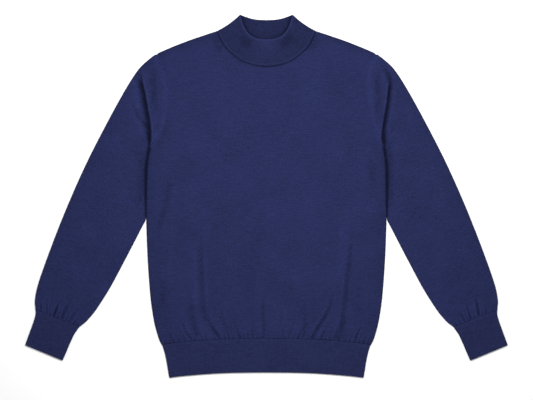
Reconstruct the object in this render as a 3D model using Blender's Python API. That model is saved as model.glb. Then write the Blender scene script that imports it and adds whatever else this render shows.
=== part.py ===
"""Mock neck sweater of fine smooth knit, laid out flat on its back.

The garment lies on the plane z = 0, with its neck towards +Y and the wearer's left sleeve towards +X.
The front panel lies on the back panel. The sleeves, cuffs, hem band and collar are flattened tubes: the
under wall is flat on the plane, the edges are rounded folds, and the upper wall carries the creases.
Every piece is a slab of two skins, the outside of the cloth and the inside, bent into its place.
Tables are in millimetres: "across" is the distance from the middle of the garment, "up" the height
on the plane towards the neck, both from the middle of the garment's outline.
"""

import math

import bmesh
import bpy
from mathutils import Vector

MM = 0.001
COLLECTION = "mock_neck_sweater"

# Thickness of the cloth, and how high the upper wall of each piece lies over the plane.
PANEL_WALL = 1.5
BAND_WALL = 2.0
COLLAR_WALL = 2.4
PANEL_TOP = 6.0
BAND_TOP = 5.7
# The collar stands up a little from its seam to its top edge.
COLLAR_TOP_AT_SEAM = 7.7
COLLAR_TOP_AT_EDGE = 9.2

# Folded edges: the radius of the rounding, and half the upright stretch at its middle.
EDGE_RADIUS = 3.2
EDGE_UPRIGHT = 0.9

# Pieces stand this far apart at a seam.
SEAM_GAP = 0.3
# Between the body's side and the sleeve that lies beside it.
SLEEVE_CLEARANCE = 0.4

# Body, columns (up, across): the side from the hem seam to the underarm, the same on both sides.
SIDE = (
    (-302.0, 213.0), (-292.6, 217.8), (-280.4, 221.8), (-268.2, 225.3), (-252.0, 229.0), (-211.0, 235.2),
    (-130.0, 241.4), (-48.0, 244.4), (12.0, 244.2), (60.0, 243.2), (84.0, 240.4), (101.0, 235.5),
)
# Armhole seam, columns (up, across on the wearer's right, across on the wearer's left).
ARMHOLE = (
    (101.0, 235.5, 235.5), (117.0, 226.0, 231.0), (134.0, 216.6, 226.4), (152.0, 210.4, 221.4),
    (172.0, 206.6, 215.2), (195.0, 204.4, 211.4), (218.0, 205.0, 210.0), (240.0, 209.6, 209.0),
    (258.0, 216.0, 211.6), (274.0, 222.4, 218.6), (288.2, 226.5, 226.5),
)
# Shoulder seam, columns (across, up), from the neck point to the shoulder tip.
SHOULDER = (
    (100.8, 336.0), (112.0, 332.5), (132.0, 325.8), (152.6, 318.8), (173.0, 311.2), (193.0, 303.2),
    (214.0, 294.2), (226.5, 288.2),
)
# Half of the neck seam, columns (across, up), from the middle to the neck point.
NECK_FRONT = (
    (0.0, 264.2), (24.0, 267.0), (45.6, 273.7), (61.0, 282.7), (73.8, 293.6), (86.5, 307.8), (95.6, 325.4),
    (100.8, 336.0),
)
NECK_BACK = ((0.0, 308.0), (34.0, 310.6), (68.0, 319.4), (100.8, 336.0))
# Half of the hem seam, columns (across, up), from the middle to the side.
HEM_SEAM = (
    (0.0, -289.6), (44.0, -290.0), (94.0, -291.3), (130.0, -293.4), (152.0, -295.2), (192.0, -299.2),
    (213.0, -302.0),
)
# Half of the lower edge of the hem band, from the middle to the side.
HEM_EDGE = (
    (0.0, -358.4), (50.0, -358.9), (91.6, -360.0), (132.0, -362.6), (173.0, -366.2), (198.0, -369.2),
)
# Side of the hem band, columns (up, across), from its lower edge to its seam.
BAND_SIDE = (
    (-369.2, 198.0), (-353.7, 200.6), (-341.5, 202.6), (-329.3, 204.8), (-317.0, 207.6), (-307.0, 210.6),
    (-302.0, 212.6),
)
# Sleeve outlines, columns (across, up), from the shoulder tip and the underarm to the cuff seam.
SLEEVE_OUTER = (
    (226.5, 288.2), (241.6, 276.4), (261.4, 256.6), (287.4, 216.2), (321.2, 155.0), (362.9, 73.8),
    (399.6, -7.6), (432.4, -89.0), (461.8, -170.4), (470.6, -208.0), (469.9, -230.8),
)
# The inner edge lies beside the body down to SLEEVE_LEAVES, and this is the rest of it.
SLEEVE_LEAVES = -42.0
SLEEVE_INNER = (
    (246.6, -51.0), (251.8, -60.6), (264.4, -85.1), (277.0, -109.5), (289.8, -133.9), (302.7, -158.3),
    (315.9, -182.7), (330.7, -207.2), (346.8, -231.6), (356.4, -243.8), (367.6, -256.0), (380.3, -266.0),
)
# Cuff outlines, from the cuff seam to the wrist edge.
CUFF_OUTER = ((469.9, -230.8), (469.6, -239.0), (472.8, -252.0), (480.0, -272.4), (491.2, -302.8))
CUFF_INNER = (
    (380.3, -266.0), (390.5, -280.4), (396.4, -292.6), (401.9, -304.8), (407.0, -317.0), (414.6, -334.4),
)
# Collar: the top edge in front and at the back, from the middle to the peak where it folds.
COLLAR_FRONT_EDGE = ((0.0, 318.8), (15.5, 320.2), (28.9, 325.2), (39.4, 334.8), (47.1, 349.3), (53.0, 369.4))
COLLAR_BACK_EDGE = ((0.0, 358.6), (16.0, 359.4), (32.0, 362.0), (53.0, 369.4))
# The folded sides of the collar bow in towards its middle by this much.
COLLAR_SIDE_BOW = 2.2

# Creases of the upper wall, columns (half width, depth, path of (x, y) points). A negative depth is a ridge.
BODY_CREASES = (
    (9.0, 1.5, ((-132.0, -123.0), (-129.0, -223.0), (-96.0, -284.0))),
    (8.0, 1.3, ((-166.0, -236.0), (-142.0, -290.0))),
    (9.0, 0.9, ((-7.5, -166.0), (-7.5, -276.0))),
    (8.0, 1.3, ((126.0, -232.0), (96.0, -284.0))),
    (9.0, 1.6, ((168.0, -110.0), (158.0, -217.0), (151.0, -262.0), (142.0, -284.0))),
)
SLEEVE_CREASES_RIGHT = (
    (9.0, 2.0, ((-254.4, 242.0), (-247.0, 190.0), (-240.0, 150.0), (-238.0, 108.0))),
    (8.0, 0.8, ((-229.0, 250.0), (-226.0, 165.0))),
    (8.0, 0.8, ((-275.0, 172.0), (-250.0, 140.0))),
)
SLEEVE_CREASES_LEFT = (
    (9.0, 2.0, ((251.0, 230.0), (246.0, 190.0), (240.0, 150.0), (239.0, 108.0))),
    (8.0, 0.8, ((236.0, 256.0), (252.0, 228.0))),
    (8.0, 0.8, ((276.0, 150.0), (252.0, 128.0))),
)
# Gathers above a band, columns (across, lean of the gather, length, depth).
HEM_GATHERS = (
    (-190.0, -6.0, 26.0, 0.8), (-72.0, -3.0, 20.0, 0.7), (-50.0, 3.0, 28.0, 0.8), (-26.0, -2.0, 18.0, 0.6),
    (30.0, 3.0, 24.0, 0.7), (56.0, -3.0, 20.0, 0.7), (76.0, 4.0, 26.0, 0.8), (118.0, 6.0, 22.0, 0.8),
    (178.0, 5.0, 30.0, 0.8),
)
# Cuff gathers, columns (place across the cuff from its outer edge as a fraction, length, depth).
CUFF_GATHERS = ((0.14, 17.0, 0.8), (0.26, 26.0, 0.9), (0.41, 30.0, 1.2), (0.59, 34.0, 1.0), (0.76, 24.0, 0.9))
GATHER_HALF_WIDTH = 6.5
# The upper wall dips into each band seam, and puffs out again behind it.
SEAM_DITCH = (7.0, 1.0)
BAND_PUFF = (26.0, 0.7)

# Spacing of the sections: steps along half the neck, a shoulder and an armhole, and rows up the side as
# fractions from the hem seam to the underarm.
FRONT_STEPS = {
    "neck": 8, "shoulder": 9, "armhole": 9,
    "side": (
        0.0, 0.018, 0.04, 0.07, 0.11, 0.15, 0.21, 0.29, 0.40, 0.52, 0.66, 0.80, 0.88, 0.93, 0.965, 1.0,
    ),
}
BACK_STEPS = {"neck": 5, "shoulder": 4, "armhole": 6, "side": (0.0, 0.07, 0.3, 0.6, 0.8, 0.93, 1.0)}
SLEEVE_SECTIONS = (
    0.0, 0.008, 0.024, 0.05, 0.085, 0.125, 0.17, 0.22, 0.28, 0.35, 0.43, 0.52, 0.61, 0.70, 0.78, 0.85, 0.90,
    0.94, 0.965, 0.985, 1.0,
)
# The inner edge reaches this fraction of its length when the outer edge is halfway.
INNER_EDGE_HALFWAY = 0.37
# The shape of the armhole dies out along the sleeve within this fraction of its length.
ARMHOLE_REACH = 0.35
# How far the sections under the armhole swing away from the body.
UNDERARM_BULGE = 110.0
# The flat slab that every piece is mapped from is this thick.
SLAB_WALL = 0.01

# Linear colour, roughness.
JERSEY = ((0.026, 0.033, 0.112), 0.85)
RIB = ((0.021, 0.026, 0.080), 0.88)


class Path:
    """A smooth curve through a few points, read by the fraction of its length."""

    STEPS = 6

    def __init__(self, points, steps=STEPS):
        knots = [Vector(point) for point in points]
        guides = [2 * knots[0] - knots[1], *knots, 2 * knots[-1] - knots[-2]]
        self.points = [knots[0]]
        for a, b, c, d in zip(guides, guides[1:], guides[2:], guides[3:]):
            for step in range(1, steps + 1):
                t = step / steps
                self.points.append(0.5 * (
                    2 * b + (c - a) * t + (2 * a - 5 * b + 4 * c - d) * t**2
                    + (3 * b - a - 3 * c + d) * t**3
                ))
        self.stations = [0.0]
        for start, end in zip(self.points, self.points[1:]):
            self.stations.append(self.stations[-1] + (end - start).length)

    def at(self, fraction):
        """The point at a fraction of the length."""
        station = min(max(fraction, 0.0), 1.0) * self.stations[-1]
        for index in range(1, len(self.points)):
            if station <= self.stations[index] or index == len(self.points) - 1:
                before = self.stations[index - 1]
                part = (station - before) / (self.stations[index] - before)
                return self.points[index - 1].lerp(self.points[index], part)

    def distance(self, point):
        """The distance of a point from the curve, and the fraction of the length where it is nearest."""
        best = (math.inf, 0.0)
        for index, (start, end) in enumerate(zip(self.points, self.points[1:])):
            span = end - start
            part = min(max((point - start).dot(span) / span.length_squared, 0.0), 1.0)
            gap = (point - start - span * part).length
            if gap < best[0]:
                best = (gap, (self.stations[index] + span.length * part) / self.stations[-1])
        return best


def mirrored(points, side):
    """The points on one side of the garment: side is 1 for +X, -1 for -X."""
    return [(side * across, up) for across, up in points]


def value_at(rows, place):
    """The value at a place, on a smooth curve through (place, value) rows in rising order."""
    last = len(rows) - 1
    index = next((i for i in range(last) if place <= rows[i + 1][0]), last - 1)

    def slope(i):
        low, high = rows[max(i - 1, 0)], rows[min(i + 1, last)]
        return (high[1] - low[1]) / (high[0] - low[0])

    (start, first), (end, second) = rows[index], rows[index + 1]
    span = end - start
    t = min(max((place - start) / span, 0.0), 1.0)
    return (
        first * (2 * t**3 - 3 * t**2 + 1) + second * (3 * t**2 - 2 * t**3)
        + span * (slope(index) * (t**3 - 2 * t**2 + t) + slope(index + 1) * (t**3 - t**2))
    )


def armhole_rows(side):
    """The armhole table of one side, columns (up, across)."""
    return [(up, left if side > 0 else right) for up, right, left in ARMHOLE]


UNDERARM = ARMHOLE[0][0]
SHOULDER_TIP = ARMHOLE[-1][0]
HEM_CORNER = SIDE[0][0]
NECK_POINT = SHOULDER[0][0]
BODY_HALF = ARMHOLE[-1][1]

# The sleeve keeps clear of the body's side at points this far apart.
CLEARANCE_STEP = 10.0

NECK_PATHS = {"front": Path(NECK_FRONT), "back": Path(NECK_BACK)}
COLLAR_EDGES = {"front": Path(COLLAR_FRONT_EDGE), "back": Path(COLLAR_BACK_EDGE)}

# Lines of points beside a folded edge: how far in they lie, as parts of the edge's radius.
FOLD_INSETS = (0.0, 0.3, 1.0)
OPEN_INSETS = (0.25, 0.6, 1.0)


def sleeve_inner_outline():
    """The sleeve's inner edge, from the underarm beside the body and then away from it to the cuff."""
    steps = round((UNDERARM - SLEEVE_LEAVES) / CLEARANCE_STEP)
    heights = [UNDERARM + (SLEEVE_LEAVES - UNDERARM) * step / steps for step in range(1, steps + 1)]
    beside = [(value_at(SIDE, height) + SLEEVE_CLEARANCE, height) for height in heights]
    return [(value_at(SIDE, UNDERARM), UNDERARM), *beside, *SLEEVE_INNER]


def hem_height(across):
    """Height of the hem seam."""
    return value_at(HEM_SEAM, abs(across))


def armhole_heights(steps):
    """Heights of the points of an armhole, from just above the underarm to just under the shoulder."""
    low, high = UNDERARM + EDGE_RADIUS, SHOULDER_TIP - 2.5 * EDGE_RADIUS
    first = UNDERARM + FOLD_INSETS[1] * EDGE_RADIUS
    return [first] + [low + (high - low) * step / steps for step in range(steps + 1)]


def neck_places(name, steps):
    """Places along half a neck seam, from the middle to the neck point, as fractions of its length."""
    length = NECK_PATHS[name].stations[-1]
    return [step / steps for step in range(steps)] + [1.0 - part * EDGE_RADIUS / length
                                                      for part in reversed(FOLD_INSETS)]


def as_paths(creases):
    """Creases with their points made smooth curves."""
    return [(half_width, depth, Path(points)) for half_width, depth, points in creases]


def crease_depth(point, creases):
    """How far the upper wall sinks at a point under a table of creases."""
    depth = 0.0
    for half_width, deepest, path in creases:
        gap, fraction = path.distance(point)
        ends = math.sqrt(math.sin(math.pi * min(max(fraction, 0.12), 0.88)))
        depth += deepest * ends * math.exp(-(gap / half_width)**2)
    return depth


def hem_creases():
    """The creases of the front panel: the long ones, the gathers, and the ditch along the band."""
    creases = list(BODY_CREASES)
    for across, lean, length, depth in HEM_GATHERS:
        foot = hem_height(across) + 3.0
        creases.append((GATHER_HALF_WIDTH, depth, ((across, foot), (across + lean, foot + length))))
    seam = mirrored(HEM_SEAM[:0:-1], -1) + mirrored(HEM_SEAM, 1)
    puff = [(across, up + BAND_PUFF[0]) for across, up in seam]
    return [*as_paths(creases), (*SEAM_DITCH, Path(seam)), (BAND_PUFF[0] / 2, -BAND_PUFF[1], Path(puff))]


def cuff_creases(side):
    """The gathers of a sleeve above its cuff, and the ditch along the seam."""
    outer, inner = (Vector((side * x, y)) for x, y in (CUFF_OUTER[0], CUFF_INNER[0]))
    line = (inner - outer).normalized()
    up_sleeve = Vector((side * line.y, -side * line.x))
    creases = []
    for place, length, depth in CUFF_GATHERS:
        foot = outer.lerp(inner, place) + up_sleeve * 3.0
        creases.append((GATHER_HALF_WIDTH, depth, (foot, foot + up_sleeve * length)))
    return [*as_paths(creases), (*SEAM_DITCH, Path([outer, outer.lerp(inner, 0.5), inner]))]


class Cloth:
    """A piece of cloth as two skins: the outside, and the inside one wall thickness within it."""

    def __init__(self, wall, creases=()):
        self.wall, self.creases = wall, creases
        self.folds = []

    def fold_along(self, spots):
        """Take the (column, row) spots of the outside that lie on one folded edge."""
        self.folds.append(Path([self.plan(column, row, False) for column, row in spots], 1))

    def inset(self, part, inner):
        """Distance from a folded edge of a line of points, on the outer or the inner skin."""
        radius = EDGE_RADIUS - self.wall if inner else EDGE_RADIUS
        return part * radius + (self.wall if inner else 0.0)

    def rise(self, plan):
        """How far the wall has risen over a point of the plane: 0 on a folded edge, 1 clear of it."""
        near = min(fold.distance(plan)[0] for fold in self.folds)
        return math.sqrt(1.0 - (1.0 - min(near / EDGE_RADIUS, 1.0))**2)

    def height(self, plan, top, upper, inner):
        """Height of a skin of the upper or the under wall over a point of the plane."""
        rise = self.rise(plan)
        half = top / 2 - (self.wall if inner else 0.0)
        upright = EDGE_UPRIGHT * half / (top / 2)
        level = upright + (half - upright) * rise
        if not upper:
            return top / 2 - level
        return top / 2 + level - rise * crease_depth(plan, self.creases)


class Panel(Cloth):
    """The front or the back: a sheet from the hem seam to the shoulders and the neck."""

    def __init__(self, name):
        self.name = name
        self.upper = name == "front"
        super().__init__(PANEL_WALL, hem_creases() if self.upper else ())
        steps = FRONT_STEPS if self.upper else BACK_STEPS
        neck = neck_places(name, steps["neck"])
        half = [(NECK_PATHS[name].at(place).x, None, place) for place in neck]
        reach = BODY_HALF - NECK_POINT - 2 * EDGE_RADIUS
        half += [(NECK_POINT + reach * step / steps["shoulder"], None, None)
                 for step in range(1, steps["shoulder"] + 1)]
        half += [(BODY_HALF, level, None) for level in (3, 2, 1, 0)]
        self.columns = [(-1, *spot) for spot in reversed(half[1:])] + [(1, *spot) for spot in half]
        side_rows = [HEM_CORNER + (UNDERARM - HEM_CORNER) * part for part in steps["side"]]
        self.rows = [(height, None) for height in side_rows + armhole_heights(steps["armhole"])]
        self.rows += [(SHOULDER_TIP, level) for level in (3, 2, 1, 0)]
        last = len(self.columns) - 1
        shoulder = last - (len(neck) - 1)
        for columns in (range(shoulder + 1), range(last - shoulder, last + 1)):
            self.fold_along([(column, len(self.rows) - 1) for column in columns])
        for column in (0, last):
            self.fold_along([(column, row) for row in range(len(side_rows))])

    def edge_inset(self, level, folded, inner):
        """How far in from the panel's edge one of its last four lines of points lies."""
        if folded:
            return self.inset(FOLD_INSETS[max(level - 1, 0)], inner)
        return EDGE_RADIUS * OPEN_INSETS[level - 1] if level else 0.0

    def plan(self, column, row, inner):
        """The place on the plane of one point of a skin."""
        side, across, column_level, neck_place = self.columns[column]
        height, row_level = self.rows[row]
        on_neck = neck_place is not None and neck_place < 1.0
        on_armhole = height > UNDERARM
        row_inset = 0.0 if row_level is None else self.edge_inset(row_level, not on_neck, inner)
        table = armhole_rows(side) if on_armhole else SIDE
        edge = value_at(table, height - row_inset)
        x = across / BODY_HALF * edge
        if column_level is not None:
            x -= self.edge_inset(column_level, not on_armhole, inner)
            if on_armhole and column_level == 0:
                x -= SEAM_GAP / 2
        top = value_at(SHOULDER, across) if neck_place is None else NECK_PATHS[self.name].at(neck_place).y
        bottom = hem_height(x) + SEAM_GAP / 2
        part = (height - HEM_CORNER) / (SHOULDER_TIP - HEM_CORNER)
        plan = Vector((x, bottom + (top - bottom) * part))
        if neck_place is not None and row_level is not None:
            plan += neck_normal(self.name, neck_place) * SEAM_GAP / 2
        return Vector((side * plan.x, plan.y - row_inset))

    def point(self, column, row, inner):
        """The place of one point of a skin."""
        column_level, neck_place = self.columns[column][2:]
        height, row_level = self.rows[row]
        plan = self.plan(column, row, inner)
        on_neck = neck_place is not None and neck_place < 1.0
        if (row_level == 0 and not on_neck) or (column_level == 0 and height <= UNDERARM):
            return Vector((*plan, PANEL_TOP / 2 + (SEAM_GAP / 2 if self.upper else -SEAM_GAP / 2)))
        return Vector((*plan, self.height(self.plan(column, row, False), PANEL_TOP, self.upper, inner)))


def neck_normal(name, place):
    """The direction square to a neck seam on the +X side, pointing away from the collar."""
    if place == 0.0:
        return Vector((0.0, -1.0))
    path = NECK_PATHS[name]
    along = (path.at(place + 0.02) - path.at(place - 0.02)).normalized()
    return Vector((along.y, -along.x))


class Tube(Cloth):
    """A flattened tube between two folded edges: a sleeve, a cuff or the hem band."""

    def __init__(self, wall, top, outer, inner, sections, seams, creases=()):
        super().__init__(wall, creases)
        self.top, self.outer, self.inner_edge, self.sections, self.seams = top, outer, inner, sections, seams
        self.ring = []

    def set_ring(self, upper_places, under_places):
        """Take the places across the tube: fraction, inset from the outer or inner edge, and upper."""
        outer_end = [(0.0, part, None) for part in FOLD_INSETS]
        inner_end = [(1.0, None, part) for part in reversed(FOLD_INSETS)]
        upper, under = (outer_end + [(place, None, None) for place in places] + inner_end
                        for places in (upper_places, under_places))
        self.ring = [(*spot, True) for spot in upper] + [(*spot, False) for spot in reversed(under)]
        for column in (0, len(upper) - 1):
            self.fold_along([(column, row) for row in range(len(self.sections))])

    def ends(self, section):
        """The two ends of a section."""
        return self.outer.at(section), self.inner_edge.at(section)

    def shape(self, part, section):
        """Where a section leaves the straight line between its ends."""
        return Vector((0.0, 0.0))

    def inner_direction(self, across, section):
        """The direction from the inner edge into the tube, on a section that runs along across."""
        return -across

    def plan(self, column, row, inner):
        """The place on the plane of one point of a skin."""
        part, outer_part, inner_part, _ = self.ring[column % len(self.ring)]
        section = self.sections[row]
        start, end = self.ends(section)
        length = (end - start).length
        across = (end - start) / length
        direction = self.inner_direction(across, section) if section > 0.0 else -across
        if inner_part is not None and section > 0.0:
            plan = end + direction * self.inset(inner_part, inner)
        else:
            if outer_part is not None:
                part = self.inset(outer_part, inner) / length
            elif inner_part is not None:
                part = 1.0 - self.inset(inner_part, inner) / length
            # The points near the inner edge follow its rounding, which may turn away from the section.
            plan = start.lerp(end, part) + self.shape(part, section)
            plan += (direction + across) * EDGE_RADIUS * part**4
        if row == 0:
            plan += self.seams[0] * SEAM_GAP / 2
        elif row == len(self.sections) - 1:
            plan -= self.seams[1] * SEAM_GAP / 2
        return plan

    def point(self, column, row, inner):
        """The place of one point of a skin."""
        upper = self.ring[column % len(self.ring)][3]
        level = self.height(self.plan(column, row, False), self.top, upper, inner)
        return Vector((*self.plan(column, row, inner), level))


class Sleeve(Tube):
    """A set-in sleeve from its armhole to its cuff seam."""

    def __init__(self, side):
        outer, inner = Path(mirrored(SLEEVE_OUTER, side)), Path(mirrored(sleeve_inner_outline(), side))
        line = (Vector(CUFF_INNER[0]) - Vector(CUFF_OUTER[0])).normalized()
        seams = (Vector((side, 0.0)), Vector((-side * line.y, line.x)))
        creases = cuff_creases(side) + as_paths(SLEEVE_CREASES_LEFT if side > 0 else SLEEVE_CREASES_RIGHT)
        self.side, self.armhole = side, armhole_rows(side)
        super().__init__(PANEL_WALL, PANEL_TOP, outer, inner, SLEEVE_SECTIONS, seams, creases)
        places = [[(SHOULDER_TIP - height) / (SHOULDER_TIP - UNDERARM) for height in
                   reversed(armhole_heights(steps["armhole"])[2:])] for steps in (FRONT_STEPS, BACK_STEPS)]
        self.set_ring(*places)

    def inner_place(self, section):
        """How far along the inner edge a section ends: slowly beside the body, faster below it."""
        if section < 0.5:
            return 2 * INNER_EDGE_HALFWAY * section
        return INNER_EDGE_HALFWAY + (1 - INNER_EDGE_HALFWAY) * (2 * section - 1)

    def ends(self, section):
        """The two ends of a section."""
        return self.outer.at(section), self.inner_edge.at(self.inner_place(section))

    def shape(self, part, section):
        """The first sections keep the curve of the armhole and then bulge away from the body."""
        height = SHOULDER_TIP - part * (SHOULDER_TIP - UNDERARM)
        line = self.armhole[-1][1] + (self.armhole[0][1] - self.armhole[-1][1]) * part
        near = min(section / ARMHOLE_REACH, 1.0)
        bow = (value_at(self.armhole, height) - line) * (1.0 - near)**2
        bulge = UNDERARM_BULGE * math.sin(math.pi * near) * part**3 * (1.0 - part)
        return Vector((self.side * (bow + bulge), 0.0))

    def inner_direction(self, across, section):
        """Square to the inner edge beside the body, along the section below it."""
        place = self.inner_place(section)
        along = (self.inner_edge.at(place + 0.01) - self.inner_edge.at(place - 0.01)).normalized()
        square = Vector((-self.side * along.y, self.side * along.x))
        return square.lerp(-across, min(2 * section, 1.0)).normalized()


class Cuff(Tube):
    """A cuff from its seam to the wrist edge."""

    def __init__(self, side):
        outer, inner = (Path(mirrored(outline, side)) for outline in (CUFF_OUTER, CUFF_INNER))
        line = (Vector(CUFF_INNER[0]) - Vector(CUFF_OUTER[0])).normalized()
        down = Vector((-side * line.y, line.x))
        super().__init__(BAND_WALL, BAND_TOP, outer, inner, (0.0, 0.25, 0.5, 0.75, 1.0),
                         (down, Vector((0.0, 0.0))))
        self.set_ring([step / 8 for step in range(1, 8)], [step / 4 for step in range(1, 4)])


class HemBand(Tube):
    """The band round the hem, from its seam to the lower edge."""

    def __init__(self):
        outline = [(across, up) for up, across in reversed(BAND_SIDE)]
        sides = [Path(mirrored(outline, side)) for side in (1, -1)]
        super().__init__(BAND_WALL, BAND_TOP, *sides, (0.0, 0.15, 0.34, 0.67, 1.0),
                         (Vector((0.0, -1.0)), Vector((0.0, 0.0))))
        self.set_ring([step / 24 for step in range(1, 24)], [step / 12 for step in range(1, 12)])

    def shape(self, part, section):
        """The seam and the lower edge both arch up at the middle."""
        across = self.outer.at(section).x * (1.0 - 2.0 * part)
        seam = hem_height(across) - HEM_SEAM[-1][1]
        edge = value_at(HEM_EDGE, abs(across)) - HEM_EDGE[-1][1]
        return Vector((0.0, seam + (edge - seam) * section))


class Collar(Cloth):
    """The stand collar, a doubled strip from the neck seam to its top edge."""

    SECTIONS = (0.0, 0.2, 0.4, 0.6, 0.8, 1.0)

    def __init__(self):
        super().__init__(COLLAR_WALL)
        upper, under = (
            [(place, None) for place in neck_places(name, steps["neck"])[:-len(FOLD_INSETS)]]
            + [(1.0, part) for part in reversed(FOLD_INSETS)]
            for name, steps in (("front", FRONT_STEPS), ("back", BACK_STEPS))
        )
        self.ring = [(*spot, "front") for spot in self.both_sides(upper)]
        self.ring += [(*spot, "back") for spot in reversed(self.both_sides(under))]
        for column in (0, 2 * len(upper) - 2):
            self.fold_along([(column, row) for row in range(len(self.SECTIONS))])

    @staticmethod
    def both_sides(half):
        """Places from the fold on -X to the fold on +X, from the places of one half."""
        return [(-1, *spot) for spot in reversed(half[1:])] + [(1, *spot) for spot in half]

    @staticmethod
    def spot(name, place, section):
        """The place on the +X half of a point of the collar, whose folded sides bow in."""
        foot, peak = Vector(NECK_FRONT[-1]), Vector(COLLAR_FRONT_EDGE[-1])
        square = Vector((foot.y - peak.y, peak.x - foot.x)).normalized()
        bow = square * COLLAR_SIDE_BOW * 4 * section * (1 - section)
        return NECK_PATHS[name].at(place).lerp(COLLAR_EDGES[name].at(place), section) + bow * place**3

    def plan(self, column, row, inner):
        """The place on the plane of one point of a skin."""
        side, place, part, name = self.ring[column % len(self.ring)]
        section = self.SECTIONS[row]
        if part is not None:
            foot, edge = NECK_PATHS[name].stations[-1], COLLAR_EDGES[name].stations[-1]
            length = foot * (1.0 - section) + edge * section
            place = 1.0 - self.inset(part, inner) / length
        plan = self.spot(name, place, section)
        if row == 0:
            # Front and back share one point at the fold.
            plan -= neck_normal("front" if part == 0.0 else name, place) * SEAM_GAP / 2
        return Vector((side * plan.x, plan.y))

    def point(self, column, row, inner):
        """The place of one point of a skin."""
        name = self.ring[column % len(self.ring)][3]
        top = COLLAR_TOP_AT_SEAM + (COLLAR_TOP_AT_EDGE - COLLAR_TOP_AT_SEAM) * self.SECTIONS[row]
        level = self.height(self.plan(column, row, False), top, name == "front", inner)
        return Vector((*self.plan(column, row, inner), level))


def clear_scene():
    """Remove everything that the file opens with."""
    for item in list(bpy.data.objects):
        bpy.data.objects.remove(item)


def make_material(name, finish):
    """A plain cloth material from a (colour, roughness) finish."""
    colour, roughness = finish
    material = bpy.data.materials.new(name)
    material.use_nodes = True
    shader = material.node_tree.nodes["Principled BSDF"]
    shader.inputs["Base Color"].default_value = (*colour, 1.0)
    shader.inputs["Roughness"].default_value = roughness
    shader.inputs["Metallic"].default_value = 0.0
    return material


def make_slab(columns, rows, closed):
    """A flat slab of two skins; one that is to be a tube has no wall at its first and last column."""
    slab = bmesh.new()
    bmesh.ops.create_grid(slab, x_segments=columns, y_segments=rows, size=1.0)
    bmesh.ops.solidify(slab, geom=slab.faces[:], thickness=SLAB_WALL)
    if closed:
        ends = [face for face in slab.faces if abs(face.normal.x) > 0.5]
        bmesh.ops.delete(slab, geom=ends, context="FACES_ONLY")
    return slab


def make_cloth(name, piece, columns, rows, finish, collection, closed=False, flip=False):
    """Map a slab onto a piece of cloth, its upper skin onto the outside."""
    slab = make_slab(columns, rows, closed)
    outside = max(vertex.co.z for vertex in slab.verts)
    for vertex in slab.verts:
        column = round((vertex.co.x + 1.0) / 2.0 * columns)
        row = round((vertex.co.y + 1.0) / 2.0 * rows)
        vertex.co = piece.point(column, row, vertex.co.z < outside - SLAB_WALL / 2) * MM
    if closed:
        bmesh.ops.remove_doubles(slab, verts=slab.verts, dist=0.01 * MM)
    if flip:
        bmesh.ops.reverse_faces(slab, faces=slab.faces)
    mesh = bpy.data.meshes.new(name)
    slab.to_mesh(mesh)
    slab.free()
    mesh.shade_smooth()
    mesh.set_sharp_from_angle(angle=math.radians(50.0))
    item = bpy.data.objects.new(name, mesh)
    item.data.materials.append(make_material(f"{name}_cloth", finish))
    collection.objects.link(item)


def make_panels(collection):
    """The front and the back."""
    for name in ("front", "back"):
        panel = Panel(name)
        make_cloth(f"{name}_panel", panel, len(panel.columns) - 1, len(panel.rows) - 1, JERSEY, collection,
                   flip=not panel.upper)


def make_tube(name, tube, finish, collection, flip=False):
    """A closed ring of cloth from its sections."""
    make_cloth(name, tube, len(tube.ring), len(tube.sections) - 1, finish, collection, closed=True, flip=flip)


def make_sleeves(collection):
    """The two sleeves with their cuffs."""
    for name, side in (("left", 1), ("right", -1)):
        make_tube(f"sleeve_{name}", Sleeve(side), JERSEY, collection, flip=side < 0)
        make_tube(f"cuff_{name}", Cuff(side), RIB, collection, flip=side < 0)


def make_collar(collection):
    """The doubled stand collar."""
    collar = Collar()
    make_cloth("mock_collar", collar, len(collar.ring), len(collar.SECTIONS) - 1, RIB, collection,
               closed=True)


def main():
    """Build the sweater in a collection of its own."""
    clear_scene()
    collection = bpy.data.collections.new(COLLECTION)
    bpy.context.scene.collection.children.link(collection)
    make_panels(collection)
    make_sleeves(collection)
    make_tube("hem_band", HemBand(), RIB, collection)
    make_collar(collection)


main()
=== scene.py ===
"""Looks of a mock neck sweater in fine smooth knit, laid out flat on its back.

Every length in the tables is in millimetres. "Across" is the distance from the middle of the garment,
"up" the place on the floor towards the neck, and heights are measured from the floor.
"""

import logging
import math
from dataclasses import dataclass, field
from enum import Enum

import bmesh
import bpy
import numpy as np
from mathutils import Matrix, Vector

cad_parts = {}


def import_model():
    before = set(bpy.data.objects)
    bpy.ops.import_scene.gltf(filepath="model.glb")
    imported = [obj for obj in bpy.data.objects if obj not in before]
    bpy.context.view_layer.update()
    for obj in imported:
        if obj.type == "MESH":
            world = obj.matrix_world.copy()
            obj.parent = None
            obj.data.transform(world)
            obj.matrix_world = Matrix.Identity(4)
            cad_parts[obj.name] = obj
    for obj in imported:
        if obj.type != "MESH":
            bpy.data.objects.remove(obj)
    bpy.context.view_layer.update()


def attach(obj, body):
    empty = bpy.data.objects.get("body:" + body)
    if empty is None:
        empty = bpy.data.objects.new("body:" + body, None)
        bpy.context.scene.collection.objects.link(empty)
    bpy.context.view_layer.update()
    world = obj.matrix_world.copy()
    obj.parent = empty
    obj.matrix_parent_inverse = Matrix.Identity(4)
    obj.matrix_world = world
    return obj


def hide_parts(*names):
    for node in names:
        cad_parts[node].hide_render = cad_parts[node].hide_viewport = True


LOG = logging.getLogger("sweater")
MM = 0.001
BODY = "root"
FLOOR_DROP = 0.2
DEEP = 3.0
Rows = tuple[tuple[float, ...], ...]


class Knit(Enum):
    """The two structures of the garment, each with the ending of its pieces' names."""

    JERSEY = "knit"
    RIB = "rib"


class Side(Enum):
    """The wearer's side: the left lies on +X."""

    LEFT = 1
    RIGHT = -1


# Plane curves


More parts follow.
